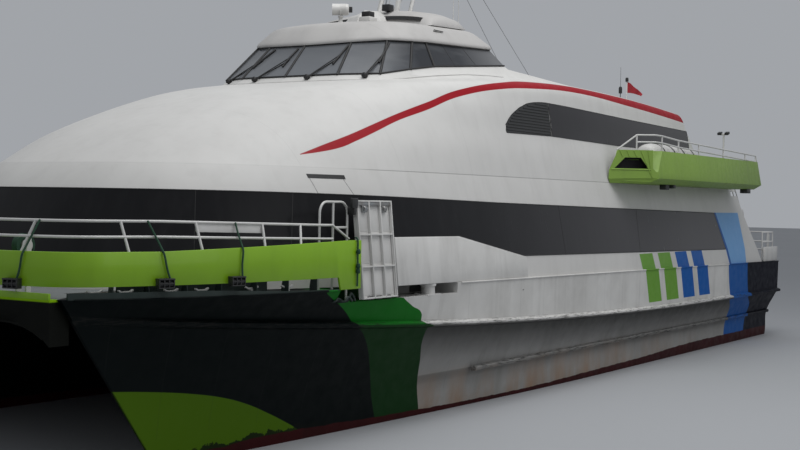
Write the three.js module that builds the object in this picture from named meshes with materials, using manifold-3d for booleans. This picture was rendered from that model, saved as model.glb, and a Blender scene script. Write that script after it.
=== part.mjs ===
// A fast two-deck passenger catamaran ferry, 34 m long. Millimetres, X forward, Y to port, Z up.
// The origin lies amidships on the centre line at the water's surface.
import * as THREE from 'three';
import { mergeVertices } from 'three/addons/utils/BufferGeometryUtils.js';
import Module from 'manifold-3d';

const wasm = await Module();
wasm.setup();

// Driving dimensions
const TRANSOM = -17200;
const HULL_CENTRE = 3700;
const HULL_INNER = 2600;
const KEEL_Z = -1250;
const WALL = 70;
const GLASS = 20;
const GAP = 0.4;
const RECESS = { back: 6750, front: 11200, floor: 2740, inner: 4250 };
const RAMP = { back: 9200, front: 10450, tall: 1985, thick: 120, rib: 34 };
const HINGE = [9825, 5060, 2770];
const LEAN = THREE.MathUtils.degToRad(6);
const JET = { x: -17500, y: HULL_CENTRE, z: 180, outer: 300, bore: 235, pivot: -17780, post: 330 };
const BAND = { bottom: 3250, thick: 40, back: 10560 };
const RAIL_R = 24;
const FRONT_STEPS = 7;
const SIDE_STEPS = 3;

const deckZ = (x) => 2920 + 0.008 * x;
const strakeZ = (x) => 1680 + 1.5e-6 * Math.max(0, x + 9000) ** 2;
const shoulderZ = (x) => -3.5e-6 * (x + 2000) ** 2;

// Paints and metals: colour, roughness, metalness
const PAINTS = {
  white: [0xb9b7b3, 0.45, 0.0],
  lime: [0x6b8d24, 0.4, 0.0],
  platformGreen: [0x719648, 0.4, 0.0],
  navy: [0x0f142d, 0.35, 0.0],
  black: [0x111213, 0.4, 0.0],
  glass: [0x1c1d20, 0.1, 0.0],
  deckGrey: [0x6d7072, 0.8, 0.0],
  steel: [0x8d9193, 0.35, 0.9],
  red: [0xa51932, 0.7, 0.0],
  rubber: [0x151515, 0.8, 0.0],
};

const ferry = new THREE.Group();
const material = ([color, roughness, metalness]) =>
  new THREE.MeshStandardMaterial({ color, roughness, metalness });

// A closed mesh becomes a solid that can be joined and cut.
function solid(geometry) {
  let g = geometry.index ? geometry.toNonIndexed() : geometry.clone();
  g.deleteAttribute('normal');
  g.deleteAttribute('uv');
  g = mergeVertices(g, 1e-3);
  return new wasm.Manifold(new wasm.Mesh({
    numProp: 3,
    vertProperties: Float32Array.from(g.attributes.position.array),
    triVerts: Uint32Array.from(g.index.array),
  }));
}

function geometryOf(body) {
  const mesh = body.getMesh();
  const g = new THREE.BufferGeometry();
  g.setAttribute('position', new THREE.BufferAttribute(Float32Array.from(mesh.vertProperties), 3));
  g.setIndex(new THREE.BufferAttribute(Uint32Array.from(mesh.triVerts), 1));
  g.computeVertexNormals();
  return g;
}

const join = (bodies) => bodies.reduce((all, body) => all.add(body));
const largest = (body) => body.decompose().reduce((a, b) => (b.volume() > a.volume() ? b : a));
const cut = (body, tools) => tools.reduce((rest, tool) => rest.subtract(tool), body);

// A piece is placed by the point it turns about, and its shape is given in the ferry's frame.
function piece(name, body, paint, pivot = [0, 0, 0]) {
  const geometry = geometryOf(body);
  geometry.translate(-pivot[0], -pivot[1], -pivot[2]);
  const mesh = new THREE.Mesh(geometry, material(PAINTS[paint]));
  mesh.name = name;
  mesh.position.set(...pivot);
  ferry.add(mesh);
}

function box(x0, x1, y0, y1, z0, z1) {
  const g = new THREE.BoxGeometry(x1 - x0, y1 - y0, z1 - z0);
  g.translate((x0 + x1) / 2, (y0 + y1) / 2, (z0 + z1) / 2);
  return solid(g);
}

// The same solid on the other side of the centre line
function mirror(body) {
  const g = geometryOf(body);
  const position = g.attributes.position.array;
  for (let i = 1; i < position.length; i += 3) position[i] = -position[i];
  const index = g.index.array;
  for (let i = 0; i < index.length; i += 3) [index[i], index[i + 1]] = [index[i + 1], index[i]];
  return solid(g);
}

function bothSides(name, body, paint, pivot) {
  piece(`${name}_port`, body, paint, pivot);
  const other = pivot && [pivot[0], -pivot[1], pivot[2]];
  piece(`${name}_starboard`, mirror(body), paint, other);
}

function moved(body, x, y, z) {
  return solid(geometryOf(body).translate(x, y, z));
}

// A solid through rings of equally many points. Rings that pair port and starboard points get
// diagonals that mirror each other too.
function loft(rings, closeEnd) {
  const n = rings[0].length;
  const points = rings.flat(2);
  const faces = [];
  for (let r = 0; r + 1 < rings.length; r++) {
    for (let i = 0; i < n; i++) {
      const a = r * n + i;
      const b = r * n + ((i + 1) % n);
      if (closeEnd === pairedEnd && i > n / 2) faces.push(a, b, a + n, b, b + n, a + n);
      else faces.push(a, b, b + n, a, b + n, a + n);
    }
  }
  closeEnd(n).forEach(([a, b, c]) => {
    faces.push(c, b, a);
    const top = (rings.length - 1) * n;
    faces.push(top + a, top + b, top + c);
  });
  const g = new THREE.BufferGeometry();
  g.setAttribute('position', new THREE.BufferAttribute(Float32Array.from(points), 3));
  g.setIndex(faces);
  return solid(g);
}

// Ends that fan out from the ring's first point, for a nearly convex section
const fanEnd = (n) => Array.from({ length: n - 2 }, (_, i) => [0, i + 1, i + 2]);

// Ends that pair each port point with its starboard twin, for a deck or roof
function pairedEnd(n) {
  const half = (n - 1) / 2;
  const faces = [[0, 1, n - 1]];
  for (let j = 1; j < half; j++) {
    faces.push([j, j + 1, n - j - 1], [j, n - j - 1, n - j]);
  }
  return faces;
}

function extrudeAlongY(outline, y0, y1) {
  const shape = new THREE.Shape(outline.map(([x, z]) => new THREE.Vector2(x, z)));
  const g = new THREE.ExtrudeGeometry(shape, { depth: y1 - y0, bevelEnabled: false });
  g.rotateX(Math.PI / 2).translate(0, y1, 0);
  return solid(g);
}

function extrudeAlongX(outline, x0, x1) {
  const shape = new THREE.Shape(outline.map(([y, z]) => new THREE.Vector2(y, z)));
  const g = new THREE.ExtrudeGeometry(shape, { depth: x1 - x0, bevelEnabled: false });
  g.rotateX(Math.PI / 2).rotateZ(Math.PI / 2).translate(x0, 0, 0);
  return solid(g);
}

// A straight round bar between two points
function bar(from, to, radius = RAIL_R, sides = 6) {
  const a = new THREE.Vector3(...from);
  const b = new THREE.Vector3(...to);
  const along = b.clone().sub(a);
  const g = new THREE.CylinderGeometry(radius, radius, along.length(), sides);
  g.applyQuaternion(new THREE.Quaternion().setFromUnitVectors(
    new THREE.Vector3(0, 1, 0), along.clone().normalize()));
  const middle = a.add(b).multiplyScalar(0.5);
  return solid(g.translate(middle.x, middle.y, middle.z));
}

// Pipe swept through a row of points, mitred at its bends; ref is a direction that it never runs along.
function pipe(points, radius = RAIL_R, sides = 5, ref = [0, 0, 1]) {
  const at = points.map((p) => new THREE.Vector3(...p));
  const rings = at.map((p, i) => {
    const along = at[Math.min(i + 1, at.length - 1)].clone().sub(p).normalize();
    along.add(p.clone().sub(at[Math.max(i - 1, 0)]).normalize()).normalize();
    const side = new THREE.Vector3(...ref).cross(along).normalize();
    const rise = along.clone().cross(side);
    return Array.from({ length: sides }, (_, k) => {
      const angle = (2 * Math.PI * (k + 0.5)) / sides;
      const q = p.clone().addScaledVector(side, radius * Math.cos(angle));
      return q.addScaledVector(rise, radius * Math.sin(angle)).toArray();
    });
  });
  return loft(rings, fanEnd);
}

// Hulls
// Each line runs from the transom to its own place on the raked stem.
// name, stem x, stem y, y at the transom, share of the length that is straight, fullness, height
const HULL_LINES = [
  ['keel', 13900, 0, 0, 0.8, 2.0, () => KEEL_Z],
  ['bilge', 14250, 20, 780, 0.45, 1.7, () => -760],
  ['waterline', 14920, 25, 900, 0.5, 1.6, () => 150],
  ['lower_side', 15480, 30, 930, 0.55, 1.8, () => 880],
  ['flare', 16780, 35, 1290, 0.62, 2.2, (x) => strakeZ(x) - 70],
  ['strake_low', 16820, 40, 1450, 0.62, 2.2, (x) => strakeZ(x) - 30],
  ['strake_high', 16860, 40, 1450, 0.62, 2.2, (x) => strakeZ(x) + 50],
  ['side_foot', 16880, 35, 1330, 0.62, 2.2, (x) => strakeZ(x) + 90],
  ['deck_edge', 17100, 45, 1350, 0.78, 3.0, deckZ],
];
// The inboard side: offsets inward from the hull's centre, from the deck down to the bilge
const INNER_LINES = [
  ['deck_inner', 17100, -45, -1100, 0.86, 3.0, deckZ],
  ['inner_side', 15950, -30, -950, 0.6, 2.0, () => 1500],
  ['inner_waterline', 14920, -25, -860, 0.5, 1.6, () => 150],
  ['inner_bilge', 14250, -20, -740, 0.45, 1.7, () => -760],
];
const STATIONS = [0, 0.35, 0.55, 0.66, 0.76, 0.84, 0.9, 0.95, 0.98, 1];

function hullRing(share) {
  return [...HULL_LINES, ...INNER_LINES].map(([, stemX, stemY, offset, straight, fullness, height]) => {
    const x = TRANSOM + share * (stemX - TRANSOM);
    const bend = Math.max(0, (share - straight) / (1 - straight)) ** fullness;
    return [x, HULL_CENTRE + offset + (stemY - offset) * bend, height(x)];
  });
}

const ENGINE = { back: -12600, front: -9900, inner: 3150, outer: 4250, bottom: -620, top: 900 };
const ENGINE_AIR = 60;

function hull() {
  const rings = STATIONS.map(hullRing);
  let body = loft(rings, fanEnd);
  const lowerStrake = box(TRANSOM, 5300, 4500, 4720, 830, 950);
  const recess = box(RECESS.back, RECESS.front, RECESS.inner, 5400, RECESS.floor, 3400);
  const engineRoom = box(ENGINE.back - ENGINE_AIR, ENGINE.front + ENGINE_AIR,
    ENGINE.inner - ENGINE_AIR, ENGINE.outer + ENGINE_AIR, ENGINE.bottom - GAP, 3400);
  body = cut(body.add(lowerStrake), [recess, engineRoom]);
  const bollard = solid(new THREE.CylinderGeometry(85, 95, 240, 10).rotateX(Math.PI / 2)
    .translate(7750, 4850, RECESS.floor + 110));
  const lugs = [RAMP.back + 50, RAMP.front - 150].flatMap((x) => [
    box(x, x + 100, HINGE[1] - 200, HINGE[1] - 20, RECESS.floor - 20, RECESS.floor + 20),
    box(x, x + 100, HINGE[1] - 60, HINGE[1] - 20, RECESS.floor, HINGE[2] + 8.2),
  ]);
  return join([body, bollard, ...lugs]);
}
const hullPort = hull();

// The side deck is laid on the hull at the level of the mooring recess's floor.
const above = box(TRANSOM - 100, 18000, 2000, 5500, RECESS.floor, 4000);
bothSides('hull', hullPort.subtract(above).add(hullPort.intersect(above).decompose()
  .filter((body) => body.volume() < 1e9).reduce((a, b) => a.add(b))), 'white');
bothSides('side_deck', largest(hullPort.intersect(moved(above, 0, 0, GAP))), 'deckGrey');

bothSides('engine', box(ENGINE.back, ENGINE.front, ENGINE.inner, ENGINE.outer,
  ENGINE.bottom, ENGINE.top), 'steel');

// Flush covers over the engine rooms
function engineHatch() {
  const rim = 160;
  const thick = 25;
  const [x0, x1] = [ENGINE.back - rim, ENGINE.front + rim];
  return extrudeAlongY([[x0, deckZ(x0) + GAP], [x1, deckZ(x1) + GAP], [x1, deckZ(x1) + thick], [x0, deckZ(x0) + thick]],
    ENGINE.inner - rim, ENGINE.outer + rim);
}
bothSides('engine_hatch', engineHatch(), 'deckGrey');

// Bridge deck between the hulls, with the arched front over the tunnel
const BRIDGE_HALF = HULL_INNER - GAP;
const BOW_FRONT = 17250;
const FASCIA_BACK = BOW_FRONT - 420;
const FASCIA_TOP = deckZ(FASCIA_BACK);
const TUNNEL_TOP = 1980;
function bridgeDeck() {
  const side = [[TRANSOM, TUNNEL_TOP], [9000, TUNNEL_TOP], [16300, 2600], [BOW_FRONT - 250, 2640],
    [BOW_FRONT - 250, FASCIA_TOP], [FASCIA_BACK, FASCIA_TOP], [TRANSOM, deckZ(TRANSOM)]];
  const slab = extrudeAlongY(side, -3600, 3600);
  const arch = [[3720, 2250], [3500, 2420], [3150, 2570], [2600, 2660], [-2600, 2660], [-3150, 2570],
    [-3500, 2420], [-3720, 2250], [-3720, FASCIA_TOP], [3720, FASCIA_TOP]];
  const fascia = extrudeAlongX(arch, FASCIA_BACK, BOW_FRONT);
  const hullRoom = join([moved(hullPort, 0, -GAP, 2), moved(hullPort, 0, -GAP, 0),
    box(TRANSOM - 50, 16000, HULL_INNER - GAP, 3800, 1300, 3300)]);
  const nose = box(BOW_FRONT - 900, BOW_FRONT + 10, 3650, 3900, 2000, 3400);
  return cut(slab.add(fascia), [hullRoom, mirror(hullRoom), nose, mirror(nose)]);
}
piece('bridge_deck', bridgeDeck(), 'deckGrey');

// Deckhouses, as levels from the deck up to the wheelhouse.
// front: foremost x; start: where the straight side begins; half: half breadth; back: aftmost x;
// z: height of the side at x = 0; slope: rise per mm forward; hump: share of the shoulder's curve;
// frontZ: height at the front on the centre line
const LEVELS = {
  deck: { front: 15150, start: 4500, half: 4960, back: -15450, z: 2920, slope: 0.008, hump: 0, frontZ: 3041 },
  sill: { front: 15000, start: 4500, half: 4900, back: -15050, z: 3440, slope: 0.01, hump: 0, frontZ: 3590 },
  head: { front: 14400, start: 4300, half: 4620, back: -14250, z: 4690, slope: 0.013, hump: 0, frontZ: 4877 },
  seam: { front: 13750, start: 3900, half: 4430, back: -13800, z: 5380, slope: 0, hump: 0, frontZ: 5380 },
};
const UPPER_LEVELS = {
  seam: { ...LEVELS.seam, back: -11000 },
  wall: { front: 12600, start: 2500, half: 4300, back: -10700, z: 5980, slope: 0, hump: 0, frontZ: 6020 },
  windowFoot: { front: 11100, start: 900, half: 4150, back: -10400, z: 6570, slope: 0, hump: 0, frontZ: 6600 },
  windowTop: { front: 9500, start: -500, half: 4030, back: -9950, z: 7330, slope: 0, hump: 0.45, frontZ: 7080 },
  shoulder: { front: 8300, start: -1500, half: 3860, back: -9700, z: 7960, slope: 0, hump: 1, frontZ: 7330 },
  roof: { front: 7400, start: -1500, half: 3250, back: -9600, z: 8140, slope: 0, hump: 1, frontZ: 7480 },
};

function planRing(level, inset = 0, drop = 0) {
  const blunt = 2 / 3;
  const front = level.front - inset;
  const half = level.half - inset;
  const back = level.back + inset;
  const height = (x) => {
    const side = level.z + level.slope * x + level.hump * shoulderZ(Math.min(x, 0));
    const share = Math.max(0, (x - level.start) / (level.front - level.start)) ** 1.4;
    return side + (level.frontZ - side) * Math.min(1, share) - drop;
  };
  const port = [];
  for (let i = 1; i <= FRONT_STEPS; i++) {
    const t = (i / FRONT_STEPS) * (Math.PI / 2);
    const x = level.start + (front - level.start) * Math.max(0, Math.cos(t)) ** blunt;
    port.push([x, half * Math.sin(t) ** blunt, height(x)]);
  }
  for (let i = 1; i <= SIDE_STEPS; i++) {
    const x = level.start + (back - level.start) * (i / SIDE_STEPS);
    port.push([x, half, height(x)]);
  }
  const starboard = port.map(([x, y, z]) => [x, -y, z]).reverse();
  return [[front, 0, height(front)], ...port, ...starboard];
}

// Wheelhouse corners on the port side, from the centre line aft: x, y, z at the sill and at the head
const WHEELHOUSE = [
  [6570, 0, 7700, 5750, 0, 8570],
  [6430, 1450, 7715, 5540, 1230, 8610],
  [5960, 2350, 7740, 5110, 1980, 8665],
  [5000, 2590, 7930, 4450, 2270, 8690],
  [4000, 2650, 8090, 3900, 2310, 8730],
  [300, 2620, 8470, 650, 2330, 8890],
];
// How many steps each stretch between corners takes, so that its ring has as many points as a level's
const WHEELHOUSE_STEPS = [2, 2, 1, 1, 4];

// Height along a row of corners, from x alone, so that rings inside each other agree
function heightAlong(corners, x) {
  const next = corners.findIndex(([cx]) => cx <= x);
  const k = next < 0 ? corners.length - 2 : Math.max(0, next - 1);
  const [x0, , z0] = corners[k];
  const [x1, , z1] = corners[k + 1];
  return z0 + ((z1 - z0) * (x - x0)) / (x1 - x0);
}

const wheelhouseCorners = (head) => WHEELHOUSE.map(([x0, y0, z0, x1, y1, z1]) =>
  [x0 + (x1 - x0) * head, y0 + (y1 - y0) * head, z0 + (z1 - z0) * head]);

function wheelhouseRing(head, inset = 0, lift = 0) {
  const middle = 3200;
  const shrink = inset / 2500;
  const corners = wheelhouseCorners(head);
  const port = [];
  WHEELHOUSE_STEPS.forEach((steps, k) => {
    for (let i = 1; i <= steps; i++) {
      port.push(corners[k].map((v, axis) => v + (corners[k + 1][axis] - v) * (i / steps)));
    }
  });
  const sized = [corners[0], ...port].map(([x, y]) => {
    const at = x - (x - middle) * shrink;
    return [at, y * (1 - shrink), heightAlong(corners, at) + lift];
  });
  return [...sized, ...sized.slice(1).map(([x, y, z]) => [x, -y, z]).reverse()];
}

const between = (a, b, share) => a.map((p, i) => p.map((v, axis) => v + (b[i][axis] - v) * share));

// The part of a wall between two rings, from one share of its height to another
function wallBand(ringAt, from, to, outside, inside) {
  const shell = (inset, low, high) => {
    const [a, b] = ringAt(inset);
    return loft([between(a, b, low), between(a, b, high)], pairedEnd);
  };
  return shell(outside, from, to).subtract(shell(inside, from - 0.2, to + 0.2));
}

const mainBand = (inset) => [planRing(LEVELS.sill, inset), planRing(LEVELS.head, inset)];
const upperBand = (inset) => [planRing(UPPER_LEVELS.windowFoot, inset), planRing(UPPER_LEVELS.windowTop, inset)];
const wheelBand = (inset) => [wheelhouseRing(0.03, inset), wheelhouseRing(0.97, inset)];

const AFT_DOOR = { half: 800, top: 4850 };

// Windows of the main deck: the glazed band ends aft, and pillars stand behind the glass.
const GLAZED_BACK = -11450;
const FRONT_GLASS = 8600;
const SIDE_WINDOW = { pitch: 1960, long: 1760, count: 10 };
const FRONT_PILLARS = [12, 36, 58, 76];
const ALCOVE = { front: -13200, half: 4780, top: 5300 };

function mainWindows() {
  const rebate = wallBand(mainBand, 0, 1, -60, GLASS)
    .intersect(box(GLAZED_BACK, 16000, -5200, 5200, 3000, 5400));
  const wall = wallBand(mainBand, 0.08, 0.92, 10, 200);
  const bays = [];
  for (let i = 0; i < SIDE_WINDOW.count; i++) {
    const x = FRONT_GLASS - 250 - i * SIDE_WINDOW.pitch;
    bays.push(box(x - SIDE_WINDOW.long, x, -5200, 5200, 3000, 5400));
  }
  let front = box(FRONT_GLASS + 50, 16000, -5200, 5200, 3000, 5400);
  FRONT_PILLARS.forEach((degrees) => {
    [-degrees, degrees].forEach((angle) => {
      const pillar = new THREE.BoxGeometry(9000, 180, 2600);
      pillar.translate(4500, 0, 4200).rotateZ(THREE.MathUtils.degToRad(angle));
      front = front.subtract(solid(pillar.translate(FRONT_GLASS, 0, 0)));
    });
  });
  return [rebate, wall.intersect(join([...bays, front]))];
}

function mainHouse() {
  const levels = Object.values(LEVELS);
  const outer = loft(levels.map((level) => planRing(level, 0, -GAP)), pairedEnd);
  const inner = loft([
    planRing({ ...LEVELS.deck, back: ALCOVE.front - WALL }, WALL, 200),
    planRing({ ...LEVELS.sill, back: ALCOVE.front - WALL }, WALL),
    planRing({ ...LEVELS.head, back: ALCOVE.front - WALL }, WALL),
    planRing({ ...LEVELS.seam, back: ALCOVE.front - WALL }, WALL, 80),
  ], pairedEnd);
  const alcove = box(-16500, ALCOVE.front - WALL - 20, -ALCOVE.half + 300, ALCOVE.half - 300, 2500, ALCOVE.top);
  const doorway = box(-13600, -13000, -AFT_DOOR.half, AFT_DOOR.half, 2500, AFT_DOOR.top);
  return cut(outer, [inner, alcove, doorway, ...mainWindows()]);
}
piece('main_house', mainHouse(), 'white');

function mainGlass(x0, x1, y0, y1) {
  return wallBand(mainBand, 0.0006, 0.9994, 0, GLASS - GAP).intersect(box(x0, x1, y0, y1, 3000, 5400));
}
bothSides('glass_main', mainGlass(GLAZED_BACK + GAP, FRONT_GLASS, 100, 5200), 'glass');
piece('glass_main_front', mainGlass(FRONT_GLASS + GAP, 16000, -5200, 5200), 'glass');

// Windows of the upper deck: a long band with a rounded front, louvred ahead of the slanted joint
const UPPER_GLASS = { back: -9750, joint: 430, front: 2850, foot: 6600 };
const jointX = (z) => UPPER_GLASS.joint + 170 - (z - UPPER_GLASS.foot) * 0.243;
const LOW = 6400;
const HIGH = 8000;
function louvreOutline(grow = 0) {
  const { front, foot } = UPPER_GLASS;
  const roundness = [[1, 0], [0.98, 0.25], [0.9, 0.5], [0.75, 0.75], [0.5, 0.93], [0.15, 1.05]];
  const nose = roundness.map(([along, up]) => [front - 1900 * (1 - along) + grow, foot + 740 * up + grow]);
  return [[jointX(HIGH) + 1, HIGH], [jointX(LOW) + 1, LOW], [front + grow, LOW], ...nose, [jointX(HIGH) + 60, HIGH]];
}
const glassOutline = [[UPPER_GLASS.back + GAP, LOW], [jointX(LOW) - 1, LOW], [jointX(HIGH) - 1, HIGH],
  [UPPER_GLASS.back + GAP, HIGH]];
const upperWhole = () => join([
  extrudeAlongY([[UPPER_GLASS.back, LOW], [jointX(LOW) + 10, LOW], [jointX(HIGH) + 10, HIGH],
    [UPPER_GLASS.back, HIGH]], 3000, 4400),
  extrudeAlongY(louvreOutline(1), 3000, 4400),
]);
function upperPanel(outline) {
  return wallBand(upperBand, 0.045, 0.955, 0, GLASS - GAP).intersect(extrudeAlongY(outline, 3000, 4400));
}

const UPPER_BAYS = { first: -200, pitch: 1900, long: 1700, count: 5 };
function upperWindows() {
  const rebate = wallBand(upperBand, 0.04, 0.96, -60, GLASS).intersect(upperWhole());
  const wall = wallBand(upperBand, 0.14, 0.86, 10, 200);
  const bays = [];
  for (let i = 0; i < UPPER_BAYS.count; i++) {
    const x = UPPER_BAYS.first - i * UPPER_BAYS.pitch;
    bays.push(box(x - UPPER_BAYS.long, x, 3000, 4400, 6400, 8000));
  }
  const one = [rebate, wall.intersect(join(bays))];
  return [...one, ...one.map(mirror)];
}

const WHEEL_PILLARS = [1, 2, 3, 4];
function wheelWindows() {
  const rebate = wallBand(wheelBand, 0, 1, -80, GLASS);
  let wall = wallBand(wheelBand, 0.1, 0.9, 10, 260);
  WHEEL_PILLARS.forEach((k) => {
    const [x0, y0, , x1, y1] = WHEELHOUSE[k];
    [1, -1].forEach((side) => {
      const pillar = bar([x0 + 60, side * (y0 - 60), 7300], [x1 + 60, side * (y1 - 60), 9100], 130, 8);
      wall = wall.subtract(pillar);
    });
  });
  const centre = bar([6600, 0, 7500], [5620, 0, 8720], 90, 8);
  const sidePosts = [2300].flatMap((x) => [1, -1].map((side) => box(x - 80, x + 80,
    side > 0 ? 2000 : -3000, side > 0 ? 3000 : -2000, 7500, 9200)));
  const aft = box(-500, 900, -3200, 3200, 7500, 9300);
  return [rebate.subtract(aft.intersect(box(-500, 560, -2100, 2100, 7500, 9300))),
    cut(wall, [centre, ...sidePosts, aft])];
}

const CASING = { back: -11020, front: -9800, half: 500, foot: 5380.8, top: 7380 };
const UPPER_DOOR = { half: 420, bottom: 5460, top: 7300 };
function upperHouse() {
  const levels = Object.values(UPPER_LEVELS);
  const outer = loft([
    ...levels.map((level, i) => planRing(level, 0, i ? 0 : -2 * GAP)),
    wheelhouseRing(-0.12, -40, -40), wheelhouseRing(0), wheelhouseRing(1),
  ], pairedEnd);
  const inner = loft([
    ...levels.map((level, i) => planRing(level, WALL, i ? WALL : 300)),
    wheelhouseRing(-0.12, 60, -110), wheelhouseRing(0, 75, -20), wheelhouseRing(1, 75, 100),
  ], pairedEnd);
  const casing = box(CASING.back, CASING.front, -CASING.half, CASING.half, CASING.foot, CASING.top);
  const doorway = box(CASING.back - 50, -9000, -UPPER_DOOR.half, UPPER_DOOR.half, UPPER_DOOR.bottom, UPPER_DOOR.top);
  return largest(cut(outer.add(casing), [inner, doorway, ...upperWindows(), ...wheelWindows()]));
}
const upperShell = upperHouse();
piece('upper_house', upperShell, 'white');
bothSides('glass_upper', upperPanel(glassOutline), 'glass');
bothSides('louvre', upperPanel(louvreOutline()), 'black');

// Wheelhouse glass, roof, mast and lamps
function wheelGlass() {
  const pane = wallBand(wheelBand, 0, 1, 0, GLASS - GAP);
  const edges = [[-0.02, 0.008], [0.992, 1.02]].map(([low, high]) => wallBand(wheelBand, low, high, -90, 60));
  return largest(cut(pane, [...edges, box(-500, 561, -2101, 2101, 7500, 9300)]));
}
piece('glass_wheelhouse', wheelGlass(), 'glass');

const ROOF_EDGE = -70;
const ROOF_RISE = 600;
const roofZ = (x) => heightAlong(wheelhouseCorners(1), x) + ROOF_RISE;
const roof = loft([
  wheelhouseRing(1, 0, GAP), wheelhouseRing(1, ROOF_EDGE, GAP), wheelhouseRing(1, ROOF_EDGE, 80),
  wheelhouseRing(1, 280, 440), wheelhouseRing(1, 760, ROOF_RISE),
], pairedEnd);
piece('wheelhouse_roof', roof, 'white');

const POD = { back: 1300, front: 3600, half: 620, top: 9760 };
const MAST = { fore: 2150, aft: 1550, head: 700, foot: 9700, platform: 11100, top: 13300 };
const RADAR = { x: 1500, z: 11560, reach: 700 };
function mast() {
  const pod = loft([[0, 0], [120, 0.55], [380, 1]].map(([inset, rise]) => {
    const z = (x) => roofZ(x) + GAP + rise * (POD.top - roofZ(x));
    const corners = [[POD.front, 0], [POD.front - 250, 1], [POD.back, 1]];
    const port = corners.slice(1).map(([x, y]) => [x - Math.sign(x - 1500) * inset, y * (POD.half - inset)]);
    const all = [[POD.front - inset, 0], ...port, ...port.map(([x, y]) => [x, -y]).reverse()];
    return all.map(([x, y]) => [x, y, z(x)]);
  }), pairedEnd);
  const legs = [1, -1].flatMap((side) => [
    bar([MAST.fore, side * 300, MAST.foot], [MAST.fore - 450, side * 220, MAST.platform + 20], 70, 8),
    bar([MAST.aft, side * 300, MAST.foot], [MAST.head, side * 120, MAST.platform + 20], 55, 8),
  ]);
  const platform = box(250, 1950, -420, 420, MAST.platform, MAST.platform + 60);
  const pedestal = solid(new THREE.CylinderGeometry(150, 190, 400, 12).rotateX(Math.PI / 2)
    .translate(RADAR.x, 0, RADAR.z - 200 - GAP));
  const pole = bar([MAST.head, 0, MAST.platform], [MAST.head - 120, 0, MAST.top], 50, 8);
  const yard = bar([MAST.head - 60, -1050, 12150], [MAST.head - 60, 1050, 12150], 32, 6);
  const whips = [1, -1].map((side) => bar([MAST.head - 60, side * 1000, 12120],
    [MAST.head - 60, side * 1000, 12900], 14, 6));
  return join([pod, ...legs, platform, pedestal, pole, yard, ...whips]);
}
piece('mast', mast(), 'white');
piece('radar_scanner', join([
  box(RADAR.x - 70, RADAR.x + 70, -RADAR.reach, RADAR.reach, RADAR.z + 60, RADAR.z + 190),
  solid(new THREE.CylinderGeometry(90, 110, 80, 12).rotateX(Math.PI / 2).translate(RADAR.x, 0, RADAR.z + 40)),
]), 'white', [RADAR.x, 0, RADAR.z]);

const SEARCHLIGHT = { x: 4300, y: 0, z: 9640, length: 430, turn: -57 };
function searchlight() {
  const { x, y, z, length, turn } = SEARCHLIGHT;
  const drum = solid(new THREE.CylinderGeometry(150, 150, length, 14).rotateZ(Math.PI / 2));
  const back = box(-length / 2 - 90, -length / 2 + 10, -60, 60, -70, 70);
  const head = join([drum, back]).rotate([0, 0, turn]).translate([x, y, z]);
  const post = bar([x, y, roofZ(x) - 100], [x, y, z - 60], 55, 8).subtract(moved(roof, 0, 0, GAP));
  return join([head, largest(post)]);
}
piece('searchlight', searchlight(), 'white');

// Lime band round the foredeck, on posts above the deck edge
function edgeLine(x) {
  const [, stemX, stemY, offset, straight, fullness] = HULL_LINES.find(([name]) => name === 'deck_edge');
  const share = (x - TRANSOM) / (stemX - TRANSOM);
  const bend = Math.max(0, (share - straight) / (1 - straight)) ** fullness;
  return HULL_CENTRE + offset + (stemY - offset) * bend;
}
const BAND_X = [BAND.back, 11240, 11260, 12200, 13200, 14100, 14900, 15600, 16200, 16650];
const BOW_PLAN = [[17000, 3560], [17190, 2900], [17290, 1800], [17330, 0]];
const bandPort = [...BAND_X.map((x) => [x, edgeLine(x) - 15]), ...BOW_PLAN];
const bandPath = [...bandPort, ...bandPort.slice(0, -1).map(([x, y]) => [x, -y]).reverse()];
const bandTop = (x) => 3820 + 140 * Math.max(0, Math.min(1, (15500 - x) / 4500));
const bandFoot = (x) => (x < 11250 ? 3010 : BAND.bottom);

// Points of a path moved sideways in plan, outward where the distance is positive
function offsetPath(path, distance) {
  return path.map(([x, y], i) => {
    const [ax, ay] = path[Math.max(0, i - 1)];
    const [bx, by] = path[Math.min(path.length - 1, i + 1)];
    const length = Math.hypot(bx - ax, by - ay);
    return [x - ((by - ay) / length) * distance, y + ((bx - ax) / length) * distance];
  });
}

function standingBand(path, thick, low, high) {
  const outer = offsetPath(path, thick / 2);
  const inner = offsetPath(path, -thick / 2);
  return loft(path.map(([x], i) => [
    [...inner[i], low(x)], [...outer[i], low(x)], [...outer[i], high(x)], [...inner[i], high(x)],
  ]), fanEnd);
}

function deckTop(x, y) {
  const overRecess = x < RECESS.front && x > RECESS.back && Math.abs(y) > RECESS.inner;
  return overRecess ? RECESS.floor : deckZ(Math.abs(y) < 3500 ? Math.min(x, FASCIA_BACK) : x);
}

const POSTS = [3, 4, 5, 6, 7, 8, 10, 12];
function bowBulwark() {
  const band = standingBand(bandPath, BAND.thick, bandFoot, bandTop);
  const back = offsetPath(bandPath, -45);
  const mirrored = POSTS.flatMap((i) => [i, bandPath.length - 1 - i]);
  const posts = mirrored.map((i) => {
    const [x, y] = back[i];
    return box(x - 30, x + 30, y - 30, y + 30, deckTop(x, y) + GAP, BAND.bottom + 200);
  });
  return join([band, ...posts]);
}
piece('bow_bulwark', bowBulwark(), 'lime');

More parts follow.
